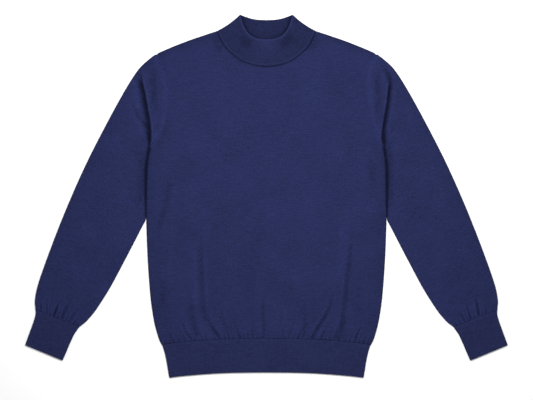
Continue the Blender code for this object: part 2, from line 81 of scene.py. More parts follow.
@dataclass(frozen=True)
class Line:
    """A smooth line on the floor, read by the fraction of its length."""

    points: np.ndarray
    stations: np.ndarray

    @classmethod
    def through(cls, knots: Rows, steps: int = 10) -> "Line":
        """Lay a smooth curve through a few points.

        Args:
            knots: The points, as (across, up).
            steps: How many short pieces each stretch between two points gets.

        Returns:
            The line.
        """
        knots = np.asarray(knots, dtype=float)
        guides = np.vstack([2 * knots[0] - knots[1], knots, 2 * knots[-1] - knots[-2]])
        part = (np.arange(steps) / steps)[:, None]
        stretches = []
        for a, b, c, d in zip(guides, guides[1:], guides[2:], guides[3:]):
            stretches.append(0.5 * (
                2 * b + (c - a) * part + (2 * a - 5 * b + 4 * c - d) * part**2
                + (3 * b - a - 3 * c + d) * part**3
            ))
        return cls.along(np.vstack([*stretches, knots[-1]]))

    @classmethod
    def along(cls, points: np.ndarray) -> "Line":
        """Take points that lie close together as they are."""
        lengths = np.linalg.norm(np.diff(points, axis=0), axis=1)
        return cls(points, np.concatenate([[0.0], np.cumsum(lengths)]))

    @property
    def length(self) -> float:
        """The length of the line."""
        return float(self.stations[-1])

    def at(self, fraction: np.ndarray | float) -> np.ndarray:
        """The points at fractions of the length, with the coordinates last."""
        station = np.clip(fraction, 0.0, 1.0) * self.length
        return np.stack([np.interp(station, self.stations, self.points[:, axis]) for axis in (0, 1)], axis=-1)

    def mirrored(self, side: Side) -> "Line":
        """The same line on one side of the garment."""
        return Line(self.points * (side.value, 1.0), self.stations)

    def near(self, plan: np.ndarray) -> tuple[np.ndarray, np.ndarray, np.ndarray]:
        """Measure how far points lie from the line.

        Args:
            plan: The points, with their coordinates last.

        Returns:
            The distance of each, the fraction of the line's length nearest to it, and whether the
            point lies to the left of the line.
        """
        best = np.full(plan.shape[:-1], np.inf)
        place, left = np.zeros(best.shape), np.zeros(best.shape, dtype=bool)
        for start, end, station in zip(self.points, self.points[1:], self.stations):
            span = end - start
            length = float(np.hypot(*span))
            if length == 0.0:
                continue
            part = np.clip(((plan - start) @ span) / length**2, 0.0, 1.0)
            gap = np.linalg.norm(plan - start - part[..., None] * span, axis=-1)
            closer = gap < best
            turn = span[0] * (plan[..., 1] - start[1]) - span[1] * (plan[..., 0] - start[0])
            best = np.where(closer, gap, best)
            place = np.where(closer, (station + part * length) / self.length, place)
            left = np.where(closer, turn > 0.0, left)
        return best, place, left


def smooth_value(rows: Rows, place: np.ndarray | float) -> np.ndarray:
    """Read a smooth curve through a table.

    Args:
        rows: The table, as (place, value) in rising order.
        place: Where to read it.

    Returns:
        The values there.
    """
    table = np.asarray(rows, dtype=float)
    index = np.clip(np.searchsorted(table[:, 0], place) - 1, 0, len(table) - 2)
    low, high = np.maximum(np.arange(len(table)) - 1, 0), np.minimum(np.arange(len(table)) + 1, len(table) - 1)
    slope = (table[high, 1] - table[low, 1]) / (table[high, 0] - table[low, 0])
    span = table[index + 1, 0] - table[index, 0]
    t = np.clip((place - table[index, 0]) / span, 0.0, 1.0)
    return (
        table[index, 1] * (2 * t**3 - 3 * t**2 + 1) + table[index + 1, 1] * (3 * t**2 - 2 * t**3)
        + span * (slope[index] * (t**3 - 2 * t**2 + t) + slope[index + 1] * (t**3 - t**2))
    )


def ramp(value: np.ndarray, start: float, end: float) -> np.ndarray:
    """A soft step from 0 at start to 1 at end."""
    t = np.clip((value - start) / (end - start), 0.0, 1.0)
    return t * t * (3.0 - 2.0 * t)


def bell(distance: np.ndarray | float, height: float, width: float) -> np.ndarray:
    """A soft hump: its full height at distance 0 and about a third of it one width away."""
    return height * np.exp(-(distance / width)**2)


# The garment's lay


@dataclass(frozen=True)
class Layout:
    """Outlines and seams of the garment as it lies, the same as the solids'.

    Points are (across, up); the side is (up, across), and the armhole (up, across at right, at left).
    """

    side: Rows = (
        (-302, 213), (-292.6, 217.8), (-280.4, 221.8), (-268.2, 225.3), (-252, 229), (-211, 235.2), (-130, 241.4),
        (-48, 244.4), (12, 244.2), (60, 243.2), (84, 240.4), (101, 235.5),
    )
    armhole: Rows = (
        (101, 235.5, 235.5), (117, 226, 231), (134, 216.6, 226.4), (152, 210.4, 221.4), (172, 206.6, 215.2),
        (195, 204.4, 211.4), (218, 205, 210), (240, 209.6, 209), (258, 216, 211.6), (274, 222.4, 218.6),
        (288.2, 226.5, 226.5),
    )
    shoulder: Rows = (
        (100.8, 336), (112, 332.5), (132, 325.8), (152.6, 318.8), (173, 311.2), (193, 303.2), (214, 294.2),
        (226.5, 288.2),
    )
    neck_front: Rows = (
        (0, 264.2), (24, 267), (45.6, 273.7), (61, 282.7), (73.8, 293.6), (86.5, 307.8), (95.6, 325.4), (100.8, 336),
    )
    neck_back: Rows = ((0, 308), (34, 310.6), (68, 319.4), (100.8, 336))
    hem_seam: Rows = (
        (0, -289.6), (44, -290), (94, -291.3), (130, -293.4), (152, -295.2), (192, -299.2), (213, -302),
    )
    hem_edge: Rows = (
        (0, -358.4), (50, -358.9), (91.6, -360), (132, -362.6), (173, -366.2), (198, -369.2),
    )
    band_side: Rows = (
        (212.6, -302), (210.6, -307), (207.6, -317), (204.8, -329.3), (202.6, -341.5), (200.6, -353.7), (198, -369.2),
    )
    sleeve_outer: Rows = (
        (226.5, 288.2), (241.6, 276.4), (261.4, 256.6), (287.4, 216.2), (321.2, 155), (362.9, 73.8), (399.6, -7.6),
        (432.4, -89), (461.8, -170.4), (470.6, -208), (469.9, -230.8),
    )
    sleeve_inner: Rows = (
        (246.6, -51), (251.8, -60.6), (264.4, -85.1), (277, -109.5), (289.8, -133.9), (302.7, -158.3),
        (315.9, -182.7), (330.7, -207.2), (346.8, -231.6), (356.4, -243.8), (367.6, -256), (380.3, -266),
    )
    cuff_outer: Rows = ((469.9, -230.8), (469.6, -239), (472.8, -252), (480, -272.4), (491.2, -302.8))
    cuff_inner: Rows = (
        (380.3, -266), (390.5, -280.4), (396.4, -292.6), (401.9, -304.8), (407, -317), (414.6, -334.4),
    )
    collar_front_edge: Rows = (
        (0, 318.8), (15.5, 320.2), (28.9, 325.2), (39.4, 334.8), (47.1, 349.3), (53, 369.4),
    )
    collar_back_edge: Rows = ((0, 358.6), (16, 359.4), (32, 362), (53, 369.4))
    collar_side_bow: float = 2.2
    # Where the inner edge of the sleeve leaves the body, and its clearances above that place.
    sleeve_leaves: float = -42.0
    sleeve_clearance: float = 0.008
    underarm_clearance: float = 0.01
    clearance_step: float = 10.0
    # Painted highlight beside the armhole seams, as (height, width) of humps.
    seam_glow: tuple[float, float] = (0.28, 5.0)
    seam_shine: tuple[float, float] = (0.15, 1.6)

    @property
    def underarm(self) -> float:
        """Height on the floor where the side meets the armhole."""
        return self.armhole[0][0]

    @property
    def shoulder_tip(self) -> float:
        """Height on the floor of the outer end of the shoulder."""
        return self.armhole[-1][0]

    @property
    def half_shoulder(self) -> float:
        """Half the width over the shoulders."""
        return self.armhole[-1][1]

    @property
    def neck_point(self) -> float:
        """Half the width of the neck."""
        return self.shoulder[0][0]

    def armhole_of(self, side: Side) -> Rows:
        """The armhole of one side, as (up, across)."""
        return tuple((up, left if side is Side.LEFT else right) for up, right, left in self.armhole)

    def painted_seam_highlight(self, plan: np.ndarray) -> np.ndarray:
        """How much highlight is painted on the cloth near the armhole seams, which stand a little proud of it.

        Args:
            plan: The points, with their coordinates last.

        Returns:
            The painted highlight to add at each point.
        """
        seams = [Line.through(tuple((side.value * across, up) for up, across in self.armhole_of(side)))
                 for side in Side]
        near = np.min([seam.near(plan)[0] for seam in seams], axis=0)
        return bell(near, *self.seam_glow) + bell(near, *self.seam_shine)

    def hem(self, across: np.ndarray) -> np.ndarray:
        """Height on the floor of the hem seam."""
        return smooth_value(self.hem_seam, np.abs(across))

    def inner_outline(self) -> Rows:
        """The sleeve's inner edge, first beside the body's side and then away from it.

        Returns:
            Its points, as (across, up).
        """
        steps = round((self.underarm - self.sleeve_leaves) / self.clearance_step)
        heights = np.linspace(self.underarm, self.sleeve_leaves, steps + 1)[1:]
        clear = self.sleeve_clearance + self.underarm_clearance * ramp(heights, 45.0, 75.0)
        beside = [(float(smooth_value(self.side, up)) + gap, float(up)) for up, gap in zip(heights, clear)]
        return ((self.side[-1][1], self.underarm), *beside, *self.sleeve_inner)


@dataclass(frozen=True)
class Crease:
    """A soft trough in the upper wall, with a low ridge on each side of it.

    A lean above 0 makes it steeper on the left of its line, one below 0 on the right.
    """

    half_width: float
    depth: float
    knots: Rows
    start: float = 0.35
    end: float = 0.35
    ridge: float = 0.25
    lean: float = 0.0
    ridge_place = 1.9
    ridge_width = 0.8
    furthest = 5.0

    def sink(self, plan: np.ndarray) -> np.ndarray:
        """How far the wall sinks at each point.

        Args:
            plan: The points, with their coordinates last.

        Returns:
            The depths, below 0 on a ridge.
        """
        line = Line.through(self.knots, 6)
        reach = self.furthest * self.half_width
        low, high = line.points.min(axis=0) - reach, line.points.max(axis=0) + reach
        close = np.all((plan > low) & (plan < high), axis=-1)
        sink = np.zeros(plan.shape[:-1])
        if not close.any():
            return sink
        gap, place, left = line.near(plan[close])
        fade = ramp(place, -0.001, self.start) * (1.0 - ramp(place, 1.0 - self.end, 1.001))
        across = gap / (self.half_width * np.where(left, 1.0 - self.lean, 1.0 + self.lean))
        steep = np.where(left, 1.0 + self.lean, 1.0 - self.lean)
        shape = bell(across, 1.0, 1.0) - steep * bell(across - self.ridge_place, self.ridge, self.ridge_width)
        sink[close] = self.depth * fade * shape
        return sink


@dataclass(frozen=True)
class Surface:
    """A grid of points of the outside of a piece, row by row, with its stitches counted and the shade painted on it.
    """

    plan: np.ndarray
    height: np.ndarray
    stitches: np.ndarray
    painted_shade: np.ndarray


def stages(rows: Rows) -> np.ndarray:
    """Even steps in stages that share their ends, from rows of (start, end, how many points)."""
    parts = [np.linspace(start, end, int(count)) for start, end, count in rows]
    return np.concatenate([*(part[:-1] for part in parts[:-1]), parts[-1]])


def spread(start: float, end: float, steps: int) -> list[float]:
    """Even steps between two values, without either."""
    return [start + (end - start) * step / steps for step in range(1, steps)]


@dataclass(frozen=True)
class Lay:
    """How the layers of the garment lie over the floor."""

    panel_top: float = 6.0
    band_top: float = 5.7
    collar_top_at_seam: float = 7.7
    collar_top_at_edge: float = 9.2
    band_wall: float = 2.0
    collar_wall: float = 2.4
    edge_radius: float = 3.2
    edge_steps: int = 6
    seam_gap: float = 0.06
    deepest: float = DEEP

    def insets(self, depth: float = 0.0) -> np.ndarray:
        """Insets of the points round a folded edge, at a depth in the wall, from the edge inwards."""
        turns = np.arange(self.edge_steps + 1) / self.edge_steps * math.pi / 2
        return depth + (self.edge_radius - depth) * (1.0 - np.cos(turns))

    def risen(self, near: np.ndarray) -> np.ndarray:
        """How far a wall has risen at distances from a fold: 0 on it and 1 clear of it."""
        return np.sqrt(1.0 - (1.0 - np.clip(near / self.edge_radius, 0.0, 1.0))**2)

    def rise(self, plan: np.ndarray, folds: list[Line]) -> np.ndarray:
        """How far a wall has risen over points, from the nearest of its folds."""
        return self.risen(np.min([fold.near(plan)[0] for fold in folds], axis=0))


# Shader maths


class Value:
    """A socket of a material, used in plain arithmetic."""

    def __init__(self, cloth: "ClothMaterial", socket: bpy.types.NodeSocket) -> None:
        """Wrap an output socket of a material."""
        self.cloth = cloth
        self.socket = socket

    def _math(self, operation: str, first: "Value | float", second: "Value | float | None" = None) -> "Value":
        """Add one Math node."""
        inputs = {0: first} if second is None else {0: first, 1: second}
        return self.cloth.node("ShaderNodeMath", {"operation": operation}, inputs)

    def __add__(self, other: "Value | float") -> "Value":
        """Sum."""
        return self._math("ADD", self, other)

    def __radd__(self, other: float) -> "Value":
        """Sum."""
        return self._math("ADD", other, self)

    def __sub__(self, other: "Value | float") -> "Value":
        """Difference."""
        return self._math("SUBTRACT", self, other)

    def __rsub__(self, other: float) -> "Value":
        """Difference."""
        return self._math("SUBTRACT", other, self)

    def __mul__(self, other: "Value | float") -> "Value":
        """Product."""
        return self._math("MULTIPLY", self, other)

    def __rmul__(self, other: float) -> "Value":
        """Product."""
        return self._math("MULTIPLY", other, self)

    def __pow__(self, other: float) -> "Value":
        """Power."""
        return self._math("POWER", self, other)

    def __abs__(self) -> "Value":
        """Size without its sign."""
        return self._math("ABSOLUTE", self)

    def sine(self) -> "Value":
        """Sine of an angle in radians."""
        return self._math("SINE", self)

    def fraction(self) -> "Value":
        """What is left over a whole number."""
        return self._math("FRACT", self)


@dataclass(frozen=True)
class Finish:
    """A knitted cloth: its colour and the size and relief of its stitches."""

    name: str
    slot: str
    knit: Knit
    # The light and dark ends of the yarn's colour; grain, streaks, mottle and patches vary between them, and painted
    # shade darkens towards the dark end.
    yarn: tuple[float, float, float]
    shade: tuple[float, float, float]
    wale: float = 1.35
    course: float = 1.0
    relief: float = 0.22
    bump: float = 0.35
    grain: float = 1.35
    mottle: float = 0.28
    streak: float = 0.5
    patch: float = 0.31
    # How far painted shade darkens the colour, and painted highlights lighten it.
    painted_shade: float = 0.4
    roughness: float = 0.86
    sheen: float = 0.01

    def material(self) -> bpy.types.Material:
        """Make the material of this finish."""
        return ClothMaterial(self).build()


class ClothMaterial:
    """The node tree of a knitted cloth."""

    # Cycles of noise in a metre: the fibre's grain, small spots, wide patches and the fuzz of the relief.
    grain_scale, mottle_scale, patch_scale, fuzz_scale = 500.0, 150.0, 16.0, 1500.0
    # Cycles of the streaks for each stitch across and along.
    streak_scale = (0.06, 0.55, 1.0)
    # Painted light and shade of the loops' relief, tops lighter and gaps darker, and its middle height; how far
    # painted crease shade blends to a share of the shade colour.
    relief_light, relief_middle, crease_blend, crease_share = 0.3, 0.6, 0.7, 0.25
    loop_height, fuzz_height = 0.8, 0.25

    def __init__(self, finish: Finish) -> None:
        """Start an empty material.

        Args:
            finish: The cloth that it shows.
        """
        self.finish = finish
        self.material = bpy.data.materials.new(finish.name)
        self.material.use_nodes = True
        self.tree = self.material.node_tree
        self.shader = self.tree.nodes["Principled BSDF"]

    def node(self, kind: str, settings: dict, inputs: dict, output: int | str = 0) -> Value:
        """Add a node.

        Args:
            kind: The node's type.
            settings: Its properties, set first.
            inputs: Numbers, colours or links for its sockets, by name or place.
            output: The socket that the caller reads.

        Returns:
            That socket.
        """
        made = self.tree.nodes.new(kind)
        for name, value in settings.items():
            setattr(made, name, value)
        for name, value in inputs.items():
            self.feed(made.inputs[name], value)
        return Value(self, made.outputs[output])

    def feed(self, socket: bpy.types.NodeSocket, value: "Value | float | tuple") -> None:
        """Link a socket or set its number.

        Args:
            socket: The input.
            value: What goes into it.
        """
        if isinstance(value, Value):
            self.tree.links.new(value.socket, socket)
        else:
            socket.default_value = value

    def blend(self, amount: Value, first: "Value | tuple", second: "Value | tuple") -> Value:
        """Blend two colours: Mix node sockets 6 and 7 are its colours, and output 2 the result."""
        return self.node("ShaderNodeMix", {"data_type": "RGBA"}, {0: amount, 6: first, 7: second}, 2)

    def noise(self, place: Value, scale: float, detail: float = 2.0) -> Value:
        """Noise over a place, its scale in cycles for each metre or stitch."""
        return self.node("ShaderNodeTexNoise", {}, {"Vector": place, "Scale": scale, "Detail": detail})

    def stitch_relief(self, across: Value, along: Value) -> Value:
        """Height of the loops: two slanted legs for each stitch, and for a rib every second wale sunk.

        Args:
            across: The count of stitches across.
            along: The count along.

        Returns:
            The height, about 0 to 1.
        """
        centre = abs(across.fraction() - 0.5) * 2.0
        leg = 1.0 - (centre * 2.0 - 1.0) ** 2.0
        twist = ((along + centre * 0.6) * math.tau).sine() * 0.4 + 0.6
        loops = leg * twist
        if self.finish.knit is Knit.RIB:
            wales = (across * math.pi).sine() * 0.5 + 0.5
            return loops * 0.45 + wales * 0.55
        return loops

    def build(self) -> bpy.types.Material:
        """Join the parts of the material.

        Returns:
            The finished material.
        """
        finish = self.finish
        stitches = self.node("ShaderNodeUVMap", {"uv_map": "stitches"}, {})
        split = self.node("ShaderNodeSeparateXYZ", {}, {0: stitches})
        across, along = split, Value(self, split.socket.node.outputs[1])
        relief = self.stitch_relief(across, along)

        place = self.node("ShaderNodeTexCoord", {}, {}, "Object")
        grain, mottle = self.noise(place, self.grain_scale, 3.0), self.noise(place, self.mottle_scale)
        patches = self.noise(place, self.patch_scale, 3.0)
        streaks = self.node("ShaderNodeMapping", {"vector_type": "POINT"},
                            {"Vector": stitches, "Scale": self.streak_scale})
        courses = self.noise(streaks, 1.0)
        # Painted shade from creases, edges and seams, below 0 where a highlight is painted.
        painted_shade = self.node("ShaderNodeAttribute", {"attribute_name": "painted_shade"}, {}, "Fac")

        # The relief paints the loops' tops lighter and their gaps darker; grain, streaks, mottle and patches are the
        # yarn's own uneven tone.
        light = (relief - self.relief_middle) * self.relief_light + (grain - 0.5) * finish.grain
        light = light + (courses - 0.5) * finish.streak
        light = light + (mottle - 0.5) * finish.mottle + (patches - 0.5) * finish.patch
        # Painted shade darkens the colour here, and painted highlights lighten it.
        light = light + 0.5 - painted_shade * finish.painted_shade
        colour = self.blend(light, (*finish.shade, 1.0), (*finish.yarn, 1.0))
        # The deepest creases blend towards a darker copy of the shade colour: painted crease shade.
        painted_crease_dark = (*(self.crease_share * part for part in finish.shade), 1.0)
        colour = self.blend(painted_shade * self.crease_blend, colour, painted_crease_dark)

        height = relief * self.loop_height + self.noise(place, self.fuzz_scale) * self.fuzz_height
        bump = self.node("ShaderNodeBump", {}, {"Strength": finish.bump, "Distance": finish.relief * MM,
                                                "Height": height})
        looks = {"Base Color": colour, "Normal": bump, "Roughness": finish.roughness, "Sheen Weight": finish.sheen,
                 "Sheen Roughness": 0.5, "Specular IOR Level": 0.05}
        for name, value in looks.items():
            self.feed(self.shader.inputs[name], value)
        return self.material


# Cloth pieces


@dataclass
class ClothPiece:
    """A piece of cloth that is laid over a grid and replaces its solid.

    Its fabric is the thickness of one layer, and its share is how much of a rectangle its cut fills.
    """

    node: str
    finish: Finish
    layout: Layout
    lay: Lay
    fabric = 1.2
    share = 1.0
    closed = True
    flipped = False
    rests_on = ()

    @property
    def name(self) -> str:
        """The name of the piece: its solid's and its structure's."""
        return f"{self.node}_{self.finish.knit.value}"

    def surface(self) -> Surface:
        """The outside of the piece."""
        raise NotImplementedError

    def flat(self) -> tuple[float, float]:
        """Width and length of the cut, in millimetres."""
        raise NotImplementedError

    def stitch_count(self, across: np.ndarray, along: np.ndarray) -> np.ndarray:
        """Distances over the cloth as counts of stitches."""
        return np.stack([across / self.finish.wale, along / self.finish.course], axis=-1)

    def mesh(self) -> bpy.types.Object:
        """Lay a grid over the outside, its last column on its first in a closed piece.

        Returns:
            The piece, without its thickness.
        """
        surface = self.surface()
        rows, columns = surface.height.shape
        grid = bmesh.new()
        stitches = grid.loops.layers.uv.new("stitches")
        # Painted shade of each point, below 0 where a highlight is painted; the material reads it.
        painted_shade = grid.verts.layers.float.new("painted_shade")
        bmesh.ops.create_grid(grid, x_segments=columns - 1, y_segments=rows - 1, size=1.0)
        spots = {}
        for vertex in grid.verts:
            spot = (round((vertex.co.y + 1.0) / 2.0 * (rows - 1)), round((vertex.co.x + 1.0) / 2.0 * (columns - 1)))
            spots[vertex] = spot
            vertex[painted_shade] = surface.painted_shade[spot]
            vertex.co = (*(surface.plan[spot] * MM), surface.height[spot] * MM)
        for face in grid.faces:
            for loop in face.loops:
                loop[stitches].uv = surface.stitches[spots[loop.vert]]
        if self.closed:
            ends = [vertex for vertex, spot in spots.items() if spot[1] in (0, columns - 1)]
            bmesh.ops.remove_doubles(grid, verts=ends, dist=0.001 * MM)
        if self.flipped:
            bmesh.ops.reverse_faces(grid, faces=grid.faces)
        mesh = bpy.data.meshes.new(self.name)
        grid.to_mesh(mesh)
        grid.free()
        mesh.shade_smooth()
        piece = bpy.data.objects.new(self.name, mesh)
        piece.data.materials.append(self.finish.material())
        bpy.context.scene.collection.objects.link(piece)
        return piece

    def build(self) -> bpy.types.Object:
        """Make the piece and stand it for its solid.

        Returns:
            The piece, with its thickness inwards.
        """
        piece = self.mesh()
        solidify = piece.modifiers.new("thickness", "SOLIDIFY")
        solidify.thickness = self.fabric * MM
        solidify.offset = -1.0
        solidify.thickness_clamp = 1.5
        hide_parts(self.node)
        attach(piece, BODY)
        width, length = self.flat()
        width * MM
        length * MM
        self.share * width * length * MM * MM
        LOG.info("%s: %d faces", piece.name, len(piece.data.polygons))
        return piece


@dataclass(frozen=True)
class BodyCreases:
    """Creases of the front, from the hem upwards."""

    long: tuple[Crease, ...] = (
        Crease(5.2, 0.95, ((-134.5, -15), (-133.1, -85), (-132.7, -146.1), (-130, -190.9), (-129, -221.4),
               (-124.5, -243), (-114.5, -261), (-104, -276), (-93.4, -290.6)), 0.5, 0.04, 0.5, 0.2),
        Crease(2.4, 0.9, ((-120, -252), (-112, -264.5), (-103.5, -277), (-93.4, -290.6)), 0.6, 0.01, 0.3),
        Crease(7, 1.25, ((-160, -165), (-153.4, -231.6), (-146.3, -260.1), (-138.2, -290.6)), 0.85, 0.08, 0.3, 0.25),
        Crease(3, 1.2, ((-173.8, -250), (-163.6, -276.4), (-152.4, -292.6)), 0.4, 0.01, 0.4),
        Crease(3.4, 1.4, ((-6.5, -150), (-5.7, -207.2), (-7.1, -239.7), (-4.9, -268.2), (-6.5, -290)), 0.95, 0.02,
               0.2),
        Crease(2.8, 1.1, ((-72, -228), (-61.9, -266.2), (-53.1, -289)), 0.7, 0.01, 0.3),
        Crease(2.4, 1.1, ((-29.3, -240), (-28.3, -289)), 0.7, 0.01, 0.3),
        Crease(2.6, 1.1, ((58.2, -246), (50.1, -272.3), (45.6, -289)), 0.6, 0.01, 0.3),
        Crease(5, 1.1, ((82.6, -228), (77.5, -268.2), (76.5, -289)), 0.6, 0.05, 0.1),
        Crease(3.6, 1.7, ((136.5, -184), (131.4, -217.3), (125.8, -233.6), (116.7, -249.9), (107, -264.1),
               (98.9, -277.4), (92.3, -290.6)), 0.6, 0.01, 0.35),
        Crease(5.2, 1.2, ((175.5, -20), (172.2, -85), (168.1, -129.8), (163.6, -162.4), (160.1, -195),
               (157.5, -223.4), (153.4, -247.9), (149.4, -266.2), (143.7, -280.4), (138.6, -291)), 0.5, 0.01, 0.2,
               -0.35),
        Crease(6, 1, ((162, -238), (156.9, -268.2), (154.9, -291)), 0.4, 0.05, 0.1),
        Crease(8, 0.9, ((-211, -165), (-210.5, -195), (-208, -240)), 0.5, 0.4, 0.1),
        Crease(7, 0.9, ((-187, 75), (-197, 25), (-210, -35), (-219, -65), (-220, -110)), 0.4, 0.4, 0.15),
        Crease(9, 0.9, ((208, 95), (213, 60), (216, 33), (216, -10)), 0.4, 0.4, 0.1),
        Crease(8, -0.5, ((158, -30), (154, -90), (150, -150), (145, -200)), 0.3, 0.3, 0),
        Crease(6, -0.4, ((-147, -130), (-146, -180), (-141, -230)), 0.3, 0.3, 0),
        Crease(8, -0.4, ((-200, -60), (-199, -120), (-195, -200)), 0.3, 0.3, 0),
        Crease(4, 0.8, ((28, -215), (30, -245), (27, -270)), 0.5, 0.5, 0.5),
        Crease(4, 0.8, ((-96, -225), (-90, -250), (-82, -275)), 0.5, 0.4, 0.5),
        Crease(12, 0.45, ((188, -130), (186, -210), (178, -262)), 0.5, 0.3, 0.1),
        Crease(10, 0.9, ((-214, 165), (-208, 136), (-209, 100)), 0.3, 0.6, 0.1),
        Crease(10, 1.1, ((-108, 332), (-98, 310), (-82, 288)), 0.3, 0.6, 0),
        Crease(10, 1.1, ((102, 330), (92, 307), (80, 286)), 0.3, 0.6, 0),
        Crease(1.4, 1.5, ((-234.5, 101), (-238.6, 86), (-242, 60), (-243.2, 33), (-243.8, -5)), 0.05, 0.5, 0),
        Crease(1.4, 1.3, ((234.5, 101), (238.6, 86), (242, 60), (243.2, 33), (243.8, -30)), 0.4, 0.05, 0),
    )
    # Columns: across, lean, length, depth, half width.
    gathers: Rows = (
        (-205, -3, 10, 0.9, 1.8), (-196, -4, 13, 1, 1.8), (-187, -15, 20, 1.4, 2.2), (-176, -3, 9, 0.8, 1.8),
        (-165, -6, 16, 1, 2), (-145, -4, 10, 0.9, 1.8), (-131, -4, 12, 1.1, 1.8), (-122, -3, 9, 0.9, 1.8),
        (-104, -5, 12, 0.9, 1.8), (-84, -3, 9, 0.9, 1.8), (-76, -6, 18, 1.3, 2), (-66, -3, 9, 0.8, 1.8),
        (-45, -3, 9, 0.9, 1.8), (-36.4, -6, 20, 1.1, 2), (-19, 1, 9, 0.9, 1.8), (-13, 0, 8, 0.8, 1.8),
        (4, 1, 9, 0.9, 1.8), (14, 1, 10, 0.9, 1.8), (23, 2, 9, 0.8, 1.8), (31.7, 5, 22, 1.2, 2), (38, 2, 9, 0.8, 1.8),
        (54, 3, 10, 0.9, 1.8), (63.9, 9, 17, 1.9, 2.2), (70, 3, 9, 0.8, 1.8), (83, 4, 10, 1, 1.8),
        (99, 6, 12, 0.9, 1.8), (110, 13, 20, 1.4, 2.6), (119, 5, 11, 0.9, 1.8), (128, 5, 10, 0.9, 1.8),
        (146, 4, 12, 1, 1.8), (160, 5, 13, 1, 1.8), (169, 6, 18, 1.2, 2), (178.9, 13, 28, 1.9, 2.4),
        (188, 5, 11, 0.9, 1.8), (196.6, 8, 15, 1.3, 2), (206, 4, 9, 0.9, 1.8),
    )


